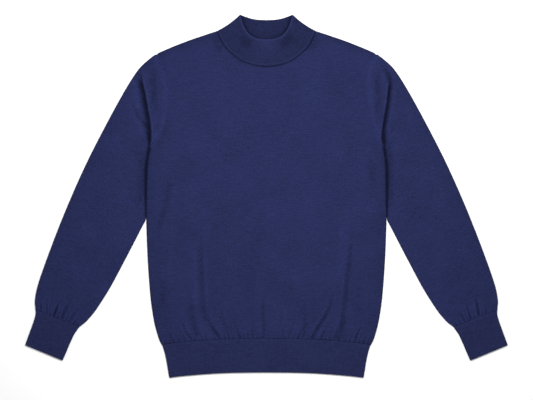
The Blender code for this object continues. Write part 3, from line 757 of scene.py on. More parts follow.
@dataclass
class Panel(ClothPiece):
    """The front or the back, a sheet from the hem seam to the shoulders and the neck."""

    front: bool
    # How many columns over the neck and the shoulder, and rows in each stretch, of the front and the back.
    column_steps = {True: (74, 92), False: (16, 18)}
    row_steps = {True: (34, 30, 26, 30, 10), False: (6, 12, 26, 16, 2)}
    unevenness = 0.25
    closed = False
    share = 0.90
    # Humps, as (height, width): the groove over the hem seam and the swell above it, and the painted
    # shade at the folded sides and the shoulders.
    groove, swell, swell_place = (0.55, 2.0), (0.25, 14.0), 24.0
    side_line, side_shade, shoulder_shade = (0.35, 1.6), (0.08, 22.0), (0.16, 13.0)
    neck_groove, neck_groove_middle, neck_groove_width = 1.4, (0.5, 28.0), 2.0
    # The stretches of rows end this far over the hem, under the underarm and under the last row.
    over_hem, under_arm, under_top = 50.0, 60.0, 14.0
    # A gather's share of the width and depth in its table, and its fades and ridge.
    gather_share, gather_profile = 0.85, (0.1, 0.7, 0.5)

    def __post_init__(self) -> None:
        """Draw the neck seam, and lay the front on the back."""
        self.neck = Line.through(self.layout.neck_front if self.front else self.layout.neck_back)
        self.flipped, self.rests_on = not self.front, ("back_panel",) if self.front else ()

    def columns(self) -> tuple[np.ndarray, np.ndarray, np.ndarray]:
        """Lay out the columns of one half.

        Returns:
            For each column its distance across at the shoulder, its inset from the side, and the
            height of the shoulder or neck seam over it.
        """
        layout, steps = self.layout, self.column_steps[self.front]
        places = np.array([*spread(0.0, 1.0, steps[0]), 1.0])
        neck = self.neck.at(places)
        reach = layout.half_shoulder - 2.0 * self.lay.edge_radius
        outer = np.array([*spread(layout.neck_point, reach, steps[1]), reach])
        insets = self.lay.insets()[::-1]
        across = np.concatenate([[0.0], neck[:, 0], outer, np.full(len(insets), layout.half_shoulder)])
        inset = np.concatenate([np.zeros(1 + len(neck) + len(outer)), insets])
        top = np.concatenate([[self.neck.points[0, 1]], neck[:, 1], smooth_value(layout.shoulder, outer),
                              np.full(len(insets), layout.shoulder_tip)])
        return across, inset, top

    def rows(self) -> tuple[np.ndarray, np.ndarray]:
        """Lay out the rows: the height of each at the side, and its inset from the top edge.

        Returns:
            The heights and the insets.
        """
        layout = self.layout
        bottom = layout.side[0][0]
        low, bend = bottom + self.over_hem, layout.underarm - self.under_arm
        high = layout.shoulder_tip - 2.5 * self.lay.edge_radius
        marks = (bottom, low, bend, layout.underarm, high - self.under_top, high)
        heights = [bottom]
        for start, end, count in zip(marks, marks[1:], self.row_steps[self.front]):
            heights += [*spread(start, end, count), end]
        insets = self.lay.insets()[::-1]
        return (np.array(heights + [layout.shoulder_tip] * len(insets)),
                np.concatenate([np.zeros(len(heights)), insets]))

    def half(self, side: Side) -> np.ndarray:
        """The plan of one half, from the middle to the side.

        Args:
            side: Which half.

        Returns:
            Its points, row by row, with their coordinates last.
        """
        layout = self.layout
        across, column_inset, top = self.columns()
        height, row_inset = self.rows()
        armhole = smooth_value(layout.armhole_of(side), height - row_inset)
        edge = np.where(height > layout.underarm, armhole - self.lay.seam_gap / 2, smooth_value(layout.side, height))
        x = across[None, :] / layout.half_shoulder * edge[:, None] - column_inset[None, :]
        bottom = layout.hem(x) + self.lay.seam_gap / 2
        part = (height - layout.side[0][0]) / (layout.shoulder_tip - layout.side[0][0])
        seam = np.where(across < layout.neck_point, self.lay.seam_gap / 2, 0.0)
        y = bottom + (top - seam - bottom) * part[:, None] - row_inset[:, None]
        return np.stack([side.value * x, y], axis=-1)

    def surface(self) -> Surface:
        """The outside of the panel.

        Returns:
            Its points, stitches and painted shade.
        """
        layout, lay = self.layout, self.lay
        right, left = self.half(Side.RIGHT), self.half(Side.LEFT)
        plan = np.concatenate([right[:, :0:-1], left], axis=1)
        height, _ = self.rows()
        below = height <= layout.underarm
        outer = int(np.argmin(np.abs(self.columns()[0] - layout.neck_point)))
        neck = np.concatenate([right[-1, outer:0:-1], left[-1, :outer + 1]])
        folds = [Line.along(plan[below][:, end]) for end in (0, -1)]
        folds += [Line.along(half[-1, outer:]) for half in (right, left)]
        rise = lay.rise(plan, folds)
        middle = lay.panel_top / 2
        seam = lay.seam_gap / 2
        if self.front:
            sink = self.sink(plan, Line.along(neck))
            z = middle + seam + (middle - seam) * rise - (sink + undulation(plan, self.unevenness)) * rise
            edge = np.min([fold.near(plan)[0] for fold in folds[:2]], axis=0)
            # Painted shade from the creases, at the folded sides and at the shoulders, less a painted highlight along
            # the armhole seams.
            painted_shade = shading(sink) + bell(edge, *self.side_line) + bell(edge, *self.side_shade)
            shoulder = np.min([fold.near(plan)[0] for fold in folds[2:]], axis=0)
            painted_shade += bell(shoulder, *self.shoulder_shade) - layout.painted_seam_highlight(plan)
        else:
            painted_shade = np.zeros_like(rise)
            z = (middle - seam) * (1.0 - rise)
        return Surface(plan, z, self.stitch_count(plan[..., 0], plan[..., 1]), painted_shade)

    def sink(self, plan: np.ndarray, neck: Line) -> np.ndarray:
        """How far the front sinks under its creases and gathers, and along its seams.

        Args:
            plan: The points, with their coordinates last.
            neck: The neck seam.

        Returns:
            The depths.
        """
        layout, creases = self.layout, BodyCreases()
        sink = np.zeros(plan.shape[:-1])
        for crease in creases.long:
            sink += crease.sink(plan)
        for across, lean, length, depth, half_width in creases.gathers:
            foot = float(layout.hem(np.array(across)))
            knots = ((across, foot - 2.0), (across + 0.5 * lean, foot + 0.7 * length),
                     (across + 1.5 * lean, foot + 1.5 * length))
            width, depth = self.gather_share * half_width, self.gather_share * depth
            sink += Crease(width, depth, knots, *self.gather_profile).sink(plan)
        above = plan[..., 1] - layout.hem(plan[..., 0])
        sink += bell(above, *self.groove) - bell(above - self.swell_place, *self.swell)
        sink += ((self.neck_groove + bell(plan[..., 0], *self.neck_groove_middle))
                 * bell(neck.near(plan)[0], 1.0, self.neck_groove_width))
        return np.minimum(sink, self.lay.deepest)

    def flat(self) -> tuple[float, float]:
        """The widest place and the height from the hem to the neck points."""
        layout = self.layout
        return 2.0 * max(across for _, across in layout.side), layout.shoulder[0][1] - layout.side[0][0]


def shading(sink: np.ndarray) -> np.ndarray:
    """How much shade is painted on a sunk point: a little below 0 on a ridge, a painted highlight, and 1 in the
    deepest crease.
    """
    return np.where(sink > 0.0, (np.clip(sink, 0.0, DEEP) / DEEP)**1.5, np.clip(sink, -1.8, 0.0) / DEEP)


def undulation(plan: np.ndarray, depth: float) -> np.ndarray:
    """The cloth's slight unevenness, as a few crossing waves of unlike length.

    Args:
        plan: The points, with their coordinates last.
        depth: The size of the unevenness.

    Returns:
        How far each point sinks.
    """
    waves = ((0.021, 0.007, 0.4), (-0.013, 0.017, 1.9), (0.034, -0.011, 2.7), (0.006, 0.029, 0.9))
    total = sum(np.sin(math.tau * (plan[..., 0] * fx + plan[..., 1] * fy) * 0.5 + phase) for fx, fy, phase in waves)
    return depth * total / len(waves)


@dataclass
class Tube(ClothPiece):
    """A flattened tube between two folded edges: a sleeve, a cuff or the hem band."""

    side: Side = Side.LEFT

    @property
    def flipped(self) -> bool:
        """Whether the grid's faces point inwards."""
        return self.side is Side.RIGHT

    def ends(self, section: float) -> tuple[np.ndarray, np.ndarray]:
        """The two ends of a section."""
        raise NotImplementedError

    def shape(self, part: np.ndarray, section: float) -> np.ndarray:
        """Where a section leaves the straight line between its ends."""
        return np.zeros((*part.shape, 2))

    def inner_direction(self, across: np.ndarray, section: float) -> np.ndarray:
        """The direction from the inner edge into the tube."""
        return -across

    def section_plan(self, section: float, places: np.ndarray, depth: float) -> np.ndarray:
        """Lay out the points across one section.

        Args:
            section: The place along the tube, from 0 to 1.
            places: The places across it, clear of the rounded edges.
            depth: How deep in the wall the points lie.

        Returns:
            Points from the outer to the inner edge.
        """
        start, end = self.ends(section)
        length = float(np.linalg.norm(end - start))
        across = (end - start) / length
        radius = self.lay.edge_radius
        insets = self.lay.insets(depth)
        direction = self.inner_direction(across, section) if section > 0.0 else -across
        part = np.concatenate([insets / length, places])
        back = insets[::-1]
        if section == 0.0:
            part = np.concatenate([part, 1.0 - back / length])
        plan = start + part[:, None] * (end - start) + self.shape(part, section)
        plan += (direction + across) * radius * part[:, None]**4
        if section == 0.0:
            return plan
        return np.vstack([plan, end + direction * back[:, None]])


@dataclass(frozen=True)
class SleeveCreases:
    """Creases of the two sleeves: where the head is drawn in under the arm, and over the cuff."""

    right: tuple[Crease, ...] = (
        Crease(5.6, 3.3, ((-256, 258), (-255, 240), (-251, 222), (-246.2, 198), (-241.8, 172), (-237.8, 148),
               (-236.6, 128), (-237.2, 100)), 0.22, 0.18, 0.5, 0.6),
        Crease(2.8, 2.6, ((-236, 136), (-237.5, 110), (-240.5, 84), (-243.6, 60), (-244.2, 10), (-244, -46)), 0.1,
               0.02, 0.1, 0.3),
        Crease(12, 1.1, ((-242, 118), (-250, 60), (-251, 10), (-250, -40)), 0.3, 0.3, 0),
        Crease(8.5, 1.1, ((-232, 270), (-231.5, 246), (-230.5, 216), (-226, 175), (-218, 150)), 0.3, 0.5, 0.2),
        Crease(6, -0.6, ((-224, 170), (-227, 140), (-230, 106)), 0.3, 0.2, 0),
        Crease(4.5, 1.5, ((-276, 192), (-264, 168.7), (-242, 136)), 0.4, 0.2),
    )
    left: tuple[Crease, ...] = (
        Crease(4.1, 3.3, ((252.5, 240), (248.8, 216), (246.6, 196), (242.8, 172), (238.8, 148), (235.6, 124),
               (236.6, 108), (238.6, 94)), 0.15, 0.18, 0.5, -0.55),
        Crease(2.8, 2.8, ((236.5, 124), (237.5, 110), (240.5, 84), (243.6, 60), (244.2, 10), (244, -46)), 0.2, 0.02,
               0.1, -0.3),
        Crease(10, 1.2, ((242, 136), (247, 90), (250, 50), (251, 10), (250, -40)), 0.1, 0.3, 0),
        Crease(5, 1.8, ((231, 270), (244.5, 252), (250, 240), (251.5, 222)), 0.6, 0.3),
        Crease(9, 1.1, ((231, 270), (225, 238), (229, 216), (228, 196), (224, 170), (220, 148)), 0.3, 0.5, 0.1),
        Crease(6, -0.4, ((222, 150), (228, 128), (231, 106)), 0.3, 0.2, 0),
        Crease(6, 0.5, ((288, 162), (266, 146), (246, 118)), 0.7, 0.4),
    )
    # Over the right cuff and the left: columns are place across, lean, length, depth, half width.
    cuff_right: Rows = (
        (0.13, -0.10, 20, 1.5, 2.6), (0.26, -0.135, 32, 1.6, 2.2), (0.33, -0.06, 12, 1, 1.8),
        (0.41, -0.005, 32, 3.2, 2.6), (0.49, -0.02, 11, 1.2, 1.8), (0.58, 0.02, 42, 2.2, 3.4),
        (0.67, 0.02, 12, 1, 1.8), (0.76, 0.04, 30, 1.7, 3), (0.85, 0.05, 14, 1.8, 2.2), (0.93, 0.03, 11, 1, 1.8),
    )
    cuff_left: Rows = (
        (0.10, -0.05, 15, 1.1, 2.2), (0.25, -0.05, 24, 1.7, 2.4), (0.34, -0.04, 11, 1.1, 1.8),
        (0.415, -0.09, 42, 2.8, 3.2), (0.51, -0.03, 11, 1.2, 1.8), (0.60, -0.04, 40, 2, 2.8),
        (0.66, -0.01, 13, 1.4, 1.8), (0.73, 0.02, 26, 2.1, 2.4), (0.82, 0.03, 12, 1.1, 1.8), (0.91, 0.04, 11, 1.4, 2),
    )


@dataclass
class Sleeve(Tube):
    """A set-in sleeve from its armhole to its cuff seam."""

    # Rows along the sleeve: columns are start, end, how many.
    row_stages = ((0.0, 0.30, 60), (0.30, 0.86, 74), (0.86, 1.0, 52))
    columns_across = 108
    share = 0.75
    widest = 158.0
    inner_halfway = 0.37
    armhole_reach = 0.35
    underarm_bulge = 110.0
    # Humps, as (height, width): the groove over the cuff, the swell above it, the painted shade along the outer fold.
    groove, swell, swell_place, fold_shade = (0.35, 1.6), (0.2, 11.0), 20.0, (0.07, 18.0)
    unevenness = 0.35
    # A gather's shares of the width and depth in its table, and its fades and ridge.
    gather_width, gather_depth, gather_profile = 0.8, 0.7, (0.1, 0.65, 0.5)
    wale_axis = (0.455, -0.89)

    def __post_init__(self) -> None:
        """Draw the two edges and take the side's creases."""
        self.outer = Line.through(self.layout.sleeve_outer).mirrored(self.side)
        self.inner = Line.through(self.layout.inner_outline()).mirrored(self.side)
        table, left = SleeveCreases(), self.side is Side.LEFT
        self.creases = table.left if left else table.right
        self.gathers = table.cuff_left if left else table.cuff_right

    def inner_place(self, section: float) -> float:
        """How far along the inner edge a section ends.

        Args:
            section: The place along the sleeve.

        Returns:
            The fraction of the inner edge's length.
        """
        if section < 0.5:
            return 2.0 * self.inner_halfway * section
        return self.inner_halfway + (1.0 - self.inner_halfway) * (2.0 * section - 1.0)

    def ends(self, section: float) -> tuple[np.ndarray, np.ndarray]:
        """The two ends of a section."""
        return self.outer.at(section), self.inner.at(self.inner_place(section))

    def shape(self, part: np.ndarray, section: float) -> np.ndarray:
        """The first sections keep the curve of the armhole and then bulge away from the body.

        Args:
            part: Places across the section.
            section: The place along the sleeve.

        Returns:
            How far each point is moved.
        """
        layout = self.layout
        table = layout.armhole_of(self.side)
        height = layout.shoulder_tip - part * (layout.shoulder_tip - layout.underarm)
        line = table[-1][1] + (table[0][1] - table[-1][1]) * part
        near = min(section / self.armhole_reach, 1.0)
        bow = (smooth_value(table, height) - line) * (1.0 - near)**2
        bulge = self.underarm_bulge * math.sin(math.pi * near) * part**3 * (1.0 - part)
        return np.stack([self.side.value * (bow + bulge), np.zeros_like(part)], axis=-1)

    def inner_direction(self, across: np.ndarray, section: float) -> np.ndarray:
        """Square to the inner edge beside the body, along the section below it.

        Args:
            across: The direction from the outer to the inner edge.
            section: The place along the sleeve.

        Returns:
            The direction from the inner edge into the sleeve.
        """
        place = self.inner_place(section)
        along = self.inner.at(place + 0.01) - self.inner.at(place - 0.01)
        along = along / np.linalg.norm(along)
        square = self.side.value * np.array([-along[1], along[0]])
        weight = min(2.0 * section, 1.0)
        mixed = square * (1.0 - weight) - across * weight
        return mixed / np.linalg.norm(mixed)

    def cuff_axis(self) -> tuple[np.ndarray, np.ndarray, np.ndarray]:
        """The outer and inner end of the cuff seam, and the direction up the sleeve from it.

        Returns:
            The two ends and the direction.
        """
        outer, inner = self.outer.points[-1], self.inner.points[-1]
        line = (inner - outer) / np.linalg.norm(inner - outer)
        return outer, inner, self.side.value * np.array([line[1], -line[0]])

    def sink(self, plan: np.ndarray) -> np.ndarray:
        """How far the upper wall sinks under creases, gathers and the groove at the cuff.

        Args:
            plan: The points, with their coordinates last.

        Returns:
            The depths.
        """
        sink = np.zeros(plan.shape[:-1])
        for crease in self.creases:
            sink += crease.sink(plan)
        outer, inner, up = self.cuff_axis()
        for place, lean, length, depth, half_width in self.gathers:
            foot = outer + (inner - outer) * place
            tip = outer + (inner - outer) * (place + lean) + up * length
            knots = (tuple(foot - up), tuple(foot + (tip - foot) * 0.6), tuple(foot + (tip - foot) * 1.2))
            width, depth = self.gather_width * half_width, self.gather_depth * depth
            sink += Crease(width, depth, knots, *self.gather_profile).sink(plan)
        above = (plan - outer) @ up
        sink += bell(above, *self.groove) - bell(above - self.swell_place, *self.swell)
        return np.minimum(sink, self.lay.deepest)

    def surface(self) -> Surface:
        """The outside of the sleeve.

        Returns:
            Its points, stitches and painted shade.
        """
        lay = self.lay
        edge = 1.6 * lay.edge_radius / 150.0 + 0.012
        places = np.linspace(edge, 1.0 - edge, self.columns_across)
        plan = np.stack([self.section_plan(float(section), places, 0.0) for section in stages(self.row_stages)])
        _, _, up = self.cuff_axis()
        plan[0] += (self.side.value * lay.seam_gap / 2, 0.0)
        plan[-1] += up * lay.seam_gap / 2
        folds = [Line.along(plan[:, 0]), Line.along(plan[:, -1])]
        rise = lay.rise(plan, folds)
        middle = lay.panel_top / 2
        sink = self.sink(plan)
        upper = middle + middle * rise - (sink + undulation(plan, self.unevenness)) * rise
        under = middle * (1.0 - rise)
        axis = np.array([self.wale_axis[0] * self.side.value, self.wale_axis[1]])
        square = np.array([axis[1], -axis[0]])
        count = self.stitch_count(plan @ square, plan @ axis)
        # Painted shade from the creases and along the outer fold, less a painted highlight along the armhole seam.
        painted_shade = shading(sink) - self.layout.painted_seam_highlight(plan) + bell(folds[0].near(plan)[0], *self.fold_shade)
        return wrap(plan, upper, under, count, painted_shade, lay.edge_steps + 1)

    def flat(self) -> tuple[float, float]:
        """Both layers at the widest place, and the outer edge."""
        return 2.0 * self.widest, self.outer.length


def wrap(plan: np.ndarray, upper: np.ndarray, under: np.ndarray, count: np.ndarray, painted_shade: np.ndarray,
         folded: int, stride: int = 4) -> Surface:
    """Close a section's upper wall with its under wall.

    Args:
        plan: Points of the upper wall, from the outer to the inner edge.
        upper: Their heights.
        under: The heights of the under wall at the same points.
        count: Their stitches.
        painted_shade: The shade painted on them from their crease depth and edges, below 0 where a highlight is
            painted.
        folded: How many columns at each end belong to the folded edges.
        stride: How many columns of the upper wall share one of the under wall.

    Returns:
        The whole ring, whose last column meets its first.
    """
    last = plan.shape[1] - 1
    inside = [*range(last - 1, last - folded, -1), *range(last - folded, folded, -stride), *range(folded, 0, -1)]
    parts = ((plan, plan), (upper, under), (count, count), (painted_shade, np.zeros_like(painted_shade)))
    return Surface(*(np.concatenate([over, below[:, inside], over[:, :1]], axis=1) for over, below in parts))


def doubled(sections: np.ndarray, wall: float, lip: int, inside: int) -> list[tuple[float, float, float]]:
    """Lay out the rows of a doubled strip: up its outside, round its free edge and down its inside.

    Args:
        sections: Places on the outside, from the seam, 0, to the free edge, 1.
        wall: How thick the doubled strip is.
        lip: How many rows go round the edge.
        inside: How many go down the inside.

    Returns:
        The rows, as (section, depth in the wall, reach past the edge).
    """
    radius = wall / 2.0
    rows = [(float(section), 0.0, -radius * float(section)) for section in sections]
    for step in range(1, lip + 1):
        turn = math.pi * step / lip
        rows.append((1.0, radius * (1.0 - math.cos(turn)), radius * (math.sin(turn) - 1.0)))
    return rows + [(1.0 - step / inside, wall, -radius * (1.0 - step / inside)) for step in range(1, inside + 1)]


@dataclass
class Band(Tube):
    """A doubled band: up its outside, round its edge and back down its inside."""

    outside_rows = 27
    lip_rows = 6
    inside_rows = 10
    unevenness = 0.2
    # A painted highlight along the outside just below the seam, as (height, width), and its place.
    painted_seam_highlight, seam_place = (0.2, 0.025), 0.03
    fabric = 0.8

    def down(self) -> np.ndarray:
        """The direction from the seam to the free edge."""
        return np.array([0.0, -1.0])

    def surface(self) -> Surface:
        """The outside of the band, round its edge and down its inside.

        Returns:
            Its points, stitches and painted shade.
        """
        lay, places, down = self.lay, self.places, self.down()
        middle = lay.band_top / 2.0
        plans, uppers, unders, sinks = [], [], [], []
        rise = None
        sections = np.linspace(0.0, 1.0, self.outside_rows)
        for section, depth, reach in doubled(sections, lay.band_wall, self.lip_rows, self.inside_rows):
            outer_plan = self.section_plan(section, places, 0.0)
            plan = self.section_plan(section, places, depth)
            if rise is None:
                near = np.minimum(np.linalg.norm(outer_plan - outer_plan[0], axis=1),
                                  np.linalg.norm(outer_plan - outer_plan[-1], axis=1))
                rise = lay.risen(near)
            half = middle - depth
            sink = undulation(outer_plan, self.unevenness) * rise
            plans.append(plan + down * reach)
            uppers.append(middle + half * rise - sink)
            unders.append(middle - half * rise)
            # Painted highlight on the outside rows near the seam; the rows' painted shade follows from their
            # unevenness.
            light = bell(section - self.seam_place, *self.painted_seam_highlight) if depth == 0.0 else 0.0
            sinks.append(shading(sink) - light)
        plan = np.stack(plans)
        plan[0] += down * lay.seam_gap / 2
        square = np.array([down[1], -down[0]])
        count = self.stitch_count(plan @ square, plan @ down)
        return wrap(plan, np.stack(uppers), np.stack(unders), count, np.stack(sinks), lay.edge_steps + 1)


@dataclass
class Cuff(Band):
    """A cuff from its seam to the wrist edge."""

    places = np.linspace(0.06, 0.94, 44)
    share = 0.94
    widest = 88.0

    def __post_init__(self) -> None:
        """Draw the two edges."""
        self.outer = Line.through(self.layout.cuff_outer).mirrored(self.side)
        self.inner = Line.through(self.layout.cuff_inner).mirrored(self.side)

    def ends(self, section: float) -> tuple[np.ndarray, np.ndarray]:
        """The two ends of a section."""
        return self.outer.at(section), self.inner.at(section)

    def down(self) -> np.ndarray:
        """Square to the wrist edge."""
        line = self.inner.points[-1] - self.outer.points[-1]
        return self.side.value * np.array([-line[1], line[0]]) / np.linalg.norm(line)

    def flat(self) -> tuple[float, float]:
        """All round the cuff, and both its layers."""
        return 2.0 * self.widest, 2.0 * self.outer.length


@dataclass
class HemBand(Band):
    """The band round the hem, from its seam to the lower edge."""

    places = np.linspace(0.02, 0.98, 200)
    share = 0.97
    half_width = 205.0
    height = 70.0

    def __post_init__(self) -> None:
        """Draw the side edge."""
        self.outer = Line.through(self.layout.band_side)

    def ends(self, section: float) -> tuple[np.ndarray, np.ndarray]:
        """The two ends of a section."""
        end = self.outer.at(section)
        return end, end * (-1.0, 1.0)

    def shape(self, part: np.ndarray, section: float) -> np.ndarray:
        """The seam and the lower edge both arch up at the middle.

        Args:
            part: Places across the section.
            section: The place down the band.

        Returns:
            How far each point is moved.
        """
        layout = self.layout
        across = self.outer.at(section)[0] * (1.0 - 2.0 * part)
        seam = layout.hem(across) - layout.hem_seam[-1][1]
        edge = smooth_value(layout.hem_edge, np.abs(across)) - layout.hem_edge[-1][1]
        return np.stack([np.zeros_like(part), seam + (edge - seam) * section], axis=-1)

    def flat(self) -> tuple[float, float]:
        """All round the band, and both its layers."""
        return 4.0 * self.half_width, 2.0 * self.height


@dataclass
class Collar(ClothPiece):
    """The stand collar, a strip folded double and joined round the neck."""

    # Rows up the outside: columns are start, end, how many.
    row_stages = ((0.0, 0.07, 10), (0.07, 0.93, 26), (0.93, 1.0, 9))
    lip_rows = 8
    inside_rows = 20
    places = np.linspace(0.0, 0.955, 60)
    fabric = 0.9
    share = 0.82
    height = 55.0
    stitched_round = 500.0
    unevenness = 0.2
    # Humps up the collar, as (height, width): the bead at the seam and the ridges beside both edges.
    bead, ridge, ridge_places = (0.9, 0.012), (0.5, 0.03), (0.05, 0.98)
    # Painted light on the front: all over, at the middle, along the seam and the rim, and painted shade at the sides.
    base_light, middle_light, middle_reach = 0.1, (0.4, 17.0), 0.4
    painted_seam_highlight, seam_place = (0.25, 0.03), 0.055
    rim_light, rim_gain, rim_starts, rim_place, rim_width = 0.75, 0.35, (12.0, 40.0), 0.985, 0.03
    side_shade, side_starts = 0.14, (15.0, 60.0)
    # Painted shade in the crevice, in the middle and added at the sides, with its width: narrow and wide.
    aside_at, narrow_shade, wide_shade = 45.0, (0.14, 0.5, 3.6), (0.05, 0.15, 15.0)
    dimples = (
        Crease(12, 1.35, ((-58, 332), (-44, 316), (-30, 309), (-18, 306)), 0.4, 0.4, 0),
        Crease(12, 1.35, ((16, 306), (30, 309), (43, 318), (54, 336)), 0.4, 0.4, 0),
    )

    def __post_init__(self) -> None:
        """Draw the neck seam and the top edge, of the front and of the back."""
        layout = self.layout
        self.feet = {True: Line.through(layout.neck_front), False: Line.through(layout.neck_back)}
        self.edges = {True: Line.through(layout.collar_front_edge), False: Line.through(layout.collar_back_edge)}

    def side_bow(self, section: float) -> np.ndarray:
        """How far the folded side bows in at a section.

        Args:
            section: The place up the collar.

        Returns:
            The shift of the side.
        """
        foot, peak = np.array(self.layout.neck_front[-1]), np.array(self.layout.collar_front_edge[-1])
        square = np.array([foot[1] - peak[1], peak[0] - foot[0]]) / np.linalg.norm(peak - foot)
        return square * self.layout.collar_side_bow * 4.0 * section * (1.0 - section)

    def half_plan(self, front: bool, section: float, depth: float, reach: float) -> np.ndarray:
        """Lay out half a section of the collar.

        Args:
            front: Whether it is the front or the back of the collar.
            section: The place from the neck seam, 0, to the top edge, 1.
            depth: How deep in the doubled strip the points lie.
            reach: How far past the top edge they lie.

        Returns:
            Points from the middle to the fold, on the +X half.
        """
        foot, edge = self.feet[front], self.edges[front]
        length = foot.length * (1.0 - section) + edge.length * section
        place = np.concatenate([self.places, 1.0 - self.lay.insets(depth)[::-1] / length])
        start, end = foot.at(place), edge.at(place)
        up = (end - start) / np.linalg.norm(end - start, axis=1)[:, None]
        return start + (end - start) * section + self.side_bow(section) * place[:, None]**3 + up * reach

    def surface(self) -> Surface:
        """The outside of the strip, round its top edge and down its inside.

        Returns:
            Its points, stitches and painted shade.
        """
        lay = self.lay
        plans, heights, counts, painted_shade_rings = [], [], [], []
        travelled, last = 0.0, None
        sections = stages(self.row_stages)
        for section, depth, reach in doubled(sections, lay.collar_wall, self.lip_rows, self.inside_rows):
            middle = (lay.collar_top_at_seam + (lay.collar_top_at_edge - lay.collar_top_at_seam) * section) / 2.0
            ring, height, painted_shade = [], [], []
            for front in (True, False):
                outer = self.half_plan(front, section, 0.0, reach)
                plan = self.half_plan(front, section, depth, reach)
                rise = lay.risen(np.linalg.norm(outer - outer[-1], axis=1))
                both = np.concatenate([(plan * (-1.0, 1.0))[:0:-1], plan])
                rises = np.concatenate([rise[:0:-1], rise])
                half = middle - depth
                if front:
                    sink = self.sink(both, section) * rises
                    ring.append(both)
                    height.append(middle + half * rises - sink - undulation(both, self.unevenness) * rises)
                    # Painted shade from the dimples and beads, with the light and shade painted on the front.
                    painted_shade.append(shading(sink) + self.painted_light_and_shade(both, section))
                else:
                    ring.append(both[-2:0:-1])
                    height.append((middle - half * rises)[-2:0:-1])
                    # Painted shade on the inside of the back, under the front's top edge.
                    painted_shade.append(self.crevice(both, depth)[-2:0:-1])
            ring, height, painted_shade = np.concatenate(ring), np.concatenate(height), np.concatenate(painted_shade)
            if last is not None:
                travelled += float(np.hypot(*(ring[len(ring) // 4] - last)))
            last = ring[len(ring) // 4]
            lengths = np.linalg.norm(np.diff(np.vstack([ring, ring[:1]]), axis=0), axis=1)
            around = np.concatenate([[0.0], np.cumsum(lengths)])
            around *= self.stitched_round / around[-1]
            plans.append(np.vstack([ring, ring[:1]]))
            heights.append(np.append(height, height[0]))
            painted_shade_rings.append(np.append(painted_shade, painted_shade[0]))
            counts.append(self.stitch_count(around, np.full_like(around, travelled)))
        return Surface(*(np.stack(part) for part in (plans, heights, counts, painted_shade_rings)))

    def sink(self, plan: np.ndarray, section: float) -> np.ndarray:
        """How far the front of the collar sinks: two soft dimples beside its middle, and a bead at each end.

        Args:
            plan: The points, with their coordinates last.
            section: The place up the collar.

        Returns:
            The depths.
        """
        sink = sum(dimple.sink(plan) for dimple in self.dimples)
        low, high = self.ridge_places
        bead = bell(section, *self.bead) - bell(section - low, *self.ridge)
        return sink + bead - bell(section - high, *self.ridge)

    def painted_light_and_shade(self, plan: np.ndarray, section: float) -> np.ndarray:
        """The light and shade painted on the front: painted highlights along both its edges, painted shade towards
        its sides.

        Args:
            plan: The points, with their coordinates last.
            section: The place up the collar.

        Returns:
            The painted shade, below 0 where a highlight is painted.
        """
        across = np.abs(plan[..., 0])
        middle = bell(across, *self.middle_light) * bell(section - 1.0, 1.0, self.middle_reach)
        rim = self.rim_light + self.rim_gain * ramp(across, *self.rim_starts)
        rim = rim * bell(section - self.rim_place, 1.0, self.rim_width)
        sides = self.side_shade * ramp(across, *self.side_starts)
        return sides - self.base_light - middle - rim - bell(section - self.seam_place, *self.painted_seam_highlight)

    def crevice(self, plan: np.ndarray, depth: float) -> np.ndarray:
        """How much shade is painted on the inside of the back where it runs under the front's top edge, most at the
        sides.

        Args:
            plan: The points, with their coordinates last.
            depth: How deep in the doubled strip they lie.

        Returns:
            The painted shade.
        """
        if depth < self.lay.collar_wall:
            return np.zeros(len(plan))
        edge = np.vstack([line.points for line in (self.edges[True].mirrored(Side.RIGHT), self.edges[True])])
        near = np.min(np.linalg.norm(plan[:, None] - edge[None], axis=2), axis=1)
        aside = np.clip(np.abs(plan[:, 0]) / self.aside_at, 0.0, 1.0)
        return sum((base + gain * aside) * bell(near, 1.0, width)
                   for base, gain, width in (self.narrow_shade, self.wide_shade))

    def flat(self) -> tuple[float, float]:
        """All round the neck seam, and both layers."""
        return 2.0 * (self.feet[True].length + self.feet[False].length), 2.0 * self.height


# Studio


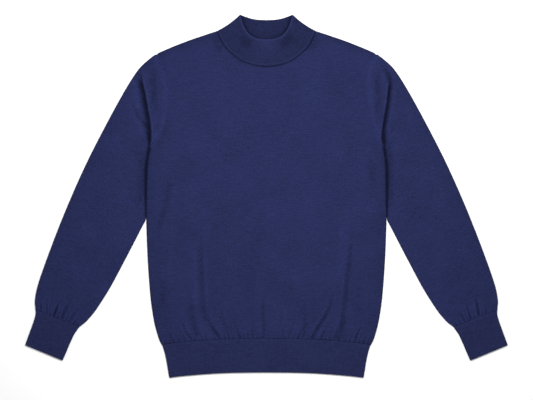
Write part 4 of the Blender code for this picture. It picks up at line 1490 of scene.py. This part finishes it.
@dataclass(frozen=True)
class Studio:
    """A pale floor, soft light from above, and the camera over the middle of the garment."""

    camera_height: float = 3.0
    view_width: float = 1.0858
    sensor: float = 36.0
    centre: tuple[float, float] = (0.0002, -0.0077)
    floor_size: float = 8.0
    floor_colour: tuple[float, float, float] = (0.93, 0.93, 0.93)
    sky: float = 0.51
    key_power: float = 17.0
    key_size: float = 0.5
    key_place: tuple[float, float, float] = (0.05, 0.25, 1.2)
    key_aim: tuple[float, float, float] = (0.03, 0.2, 0.0)

    def floor(self) -> None:
        """Lay the floor just under the garment."""
        plane = bmesh.new()
        bmesh.ops.create_grid(plane, x_segments=1, y_segments=1, size=self.floor_size / 2.0)
        mesh = bpy.data.meshes.new("floor")
        plane.to_mesh(mesh)
        plane.free()
        mesh.transform(Matrix.Translation((0.0, 0.0, -FLOOR_DROP * MM)))
        floor = bpy.data.objects.new("floor", mesh)
        material = bpy.data.materials.new("pale_floor")
        material.use_nodes = True
        looks = {"Base Color": (*self.floor_colour, 1.0), "Roughness": 0.95, "Specular IOR Level": 0.0}
        for name, value in looks.items():
            material.node_tree.nodes["Principled BSDF"].inputs[name].default_value = value
        mesh.materials.append(material)
        bpy.context.scene.collection.objects.link(floor)

    def lights(self) -> None:
        """Hang a wide soft light over the neck, in an even pale room."""
        world = bpy.data.worlds.new("room")
        world.use_nodes = True
        background = world.node_tree.nodes["Background"]
        background.inputs["Color"].default_value = (1.0, 1.0, 1.0, 1.0)
        background.inputs["Strength"].default_value = self.sky
        bpy.context.scene.world = world
        lamp = bpy.data.lights.new("key", "AREA")
        lamp.shape = "DISK"
        lamp.size = self.key_size
        lamp.energy = self.key_power
        key = bpy.data.objects.new("key", lamp)
        key.location = self.key_place
        aim = Vector(self.key_aim) - Vector(self.key_place)
        key.rotation_euler = aim.to_track_quat("-Z", "Y").to_euler()
        bpy.context.scene.collection.objects.link(key)

    def camera(self) -> None:
        """Look straight down on the garment, as the photograph does."""
        data = bpy.data.cameras.new("camera")
        data.sensor_width = self.sensor
        data.lens = self.sensor * self.camera_height / self.view_width
        camera = bpy.data.objects.new("camera", data)
        camera.location = (*self.centre, self.camera_height)
        bpy.context.scene.collection.objects.link(camera)
        bpy.context.scene.camera = camera

    def build(self) -> None:
        """Set up the studio."""
        self.floor()
        self.lights()
        self.camera()
        bpy.context.scene.view_settings.view_transform = "Standard"


# The garment


@dataclass(frozen=True)
class Sweater:
    """The whole garment."""

    layout: Layout = field(default_factory=Layout)
    lay: Lay = field(default_factory=Lay)
    jersey: Finish = Finish("navy_jersey", "jersey", Knit.JERSEY, (0.0244, 0.0315, 0.1140), (0.0061, 0.0079, 0.0285))
    rib: Finish = Finish("navy_rib", "rib", Knit.RIB, (0.0227, 0.0290, 0.1006), (0.0057, 0.0072, 0.0251),
                         grain=1.15, patch=0.15)
    # The collar's rib is the rib with darker colours: painted shade on the collar.
    collar: Finish = Finish("navy_collar_rib_painted_shade", "rib", Knit.RIB, (0.0184, 0.0242, 0.0840), (0.0046, 0.0060, 0.0210),
                            grain=1.15, patch=0.2)

    def build(self) -> list[bpy.types.Object]:
        """Make every piece.

        Returns:
            The pieces, in the order of making.
        """
        shared = (self.layout, self.lay)
        makers = [Panel("back_panel", self.jersey, *shared, False), Panel("front_panel", self.jersey, *shared, True),
                  HemBand("hem_band", self.rib, *shared)]
        for side in Side:
            word = side.name.lower()
            makers.append(Sleeve(f"sleeve_{word}", self.jersey, *shared, side))
            makers.append(Cuff(f"cuff_{word}", self.rib, *shared, side))
        makers.append(Collar("mock_collar", self.collar, *shared))
        return [maker.build() for maker in makers]


def main() -> None:
    """Load the frame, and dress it."""
    logging.basicConfig(level=logging.INFO, format="%(name)s: %(message)s")
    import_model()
    Studio().build()
    for piece in Sweater().build():
        LOG.info("made %s", piece.name)


if __name__ == "__main__":
    main()
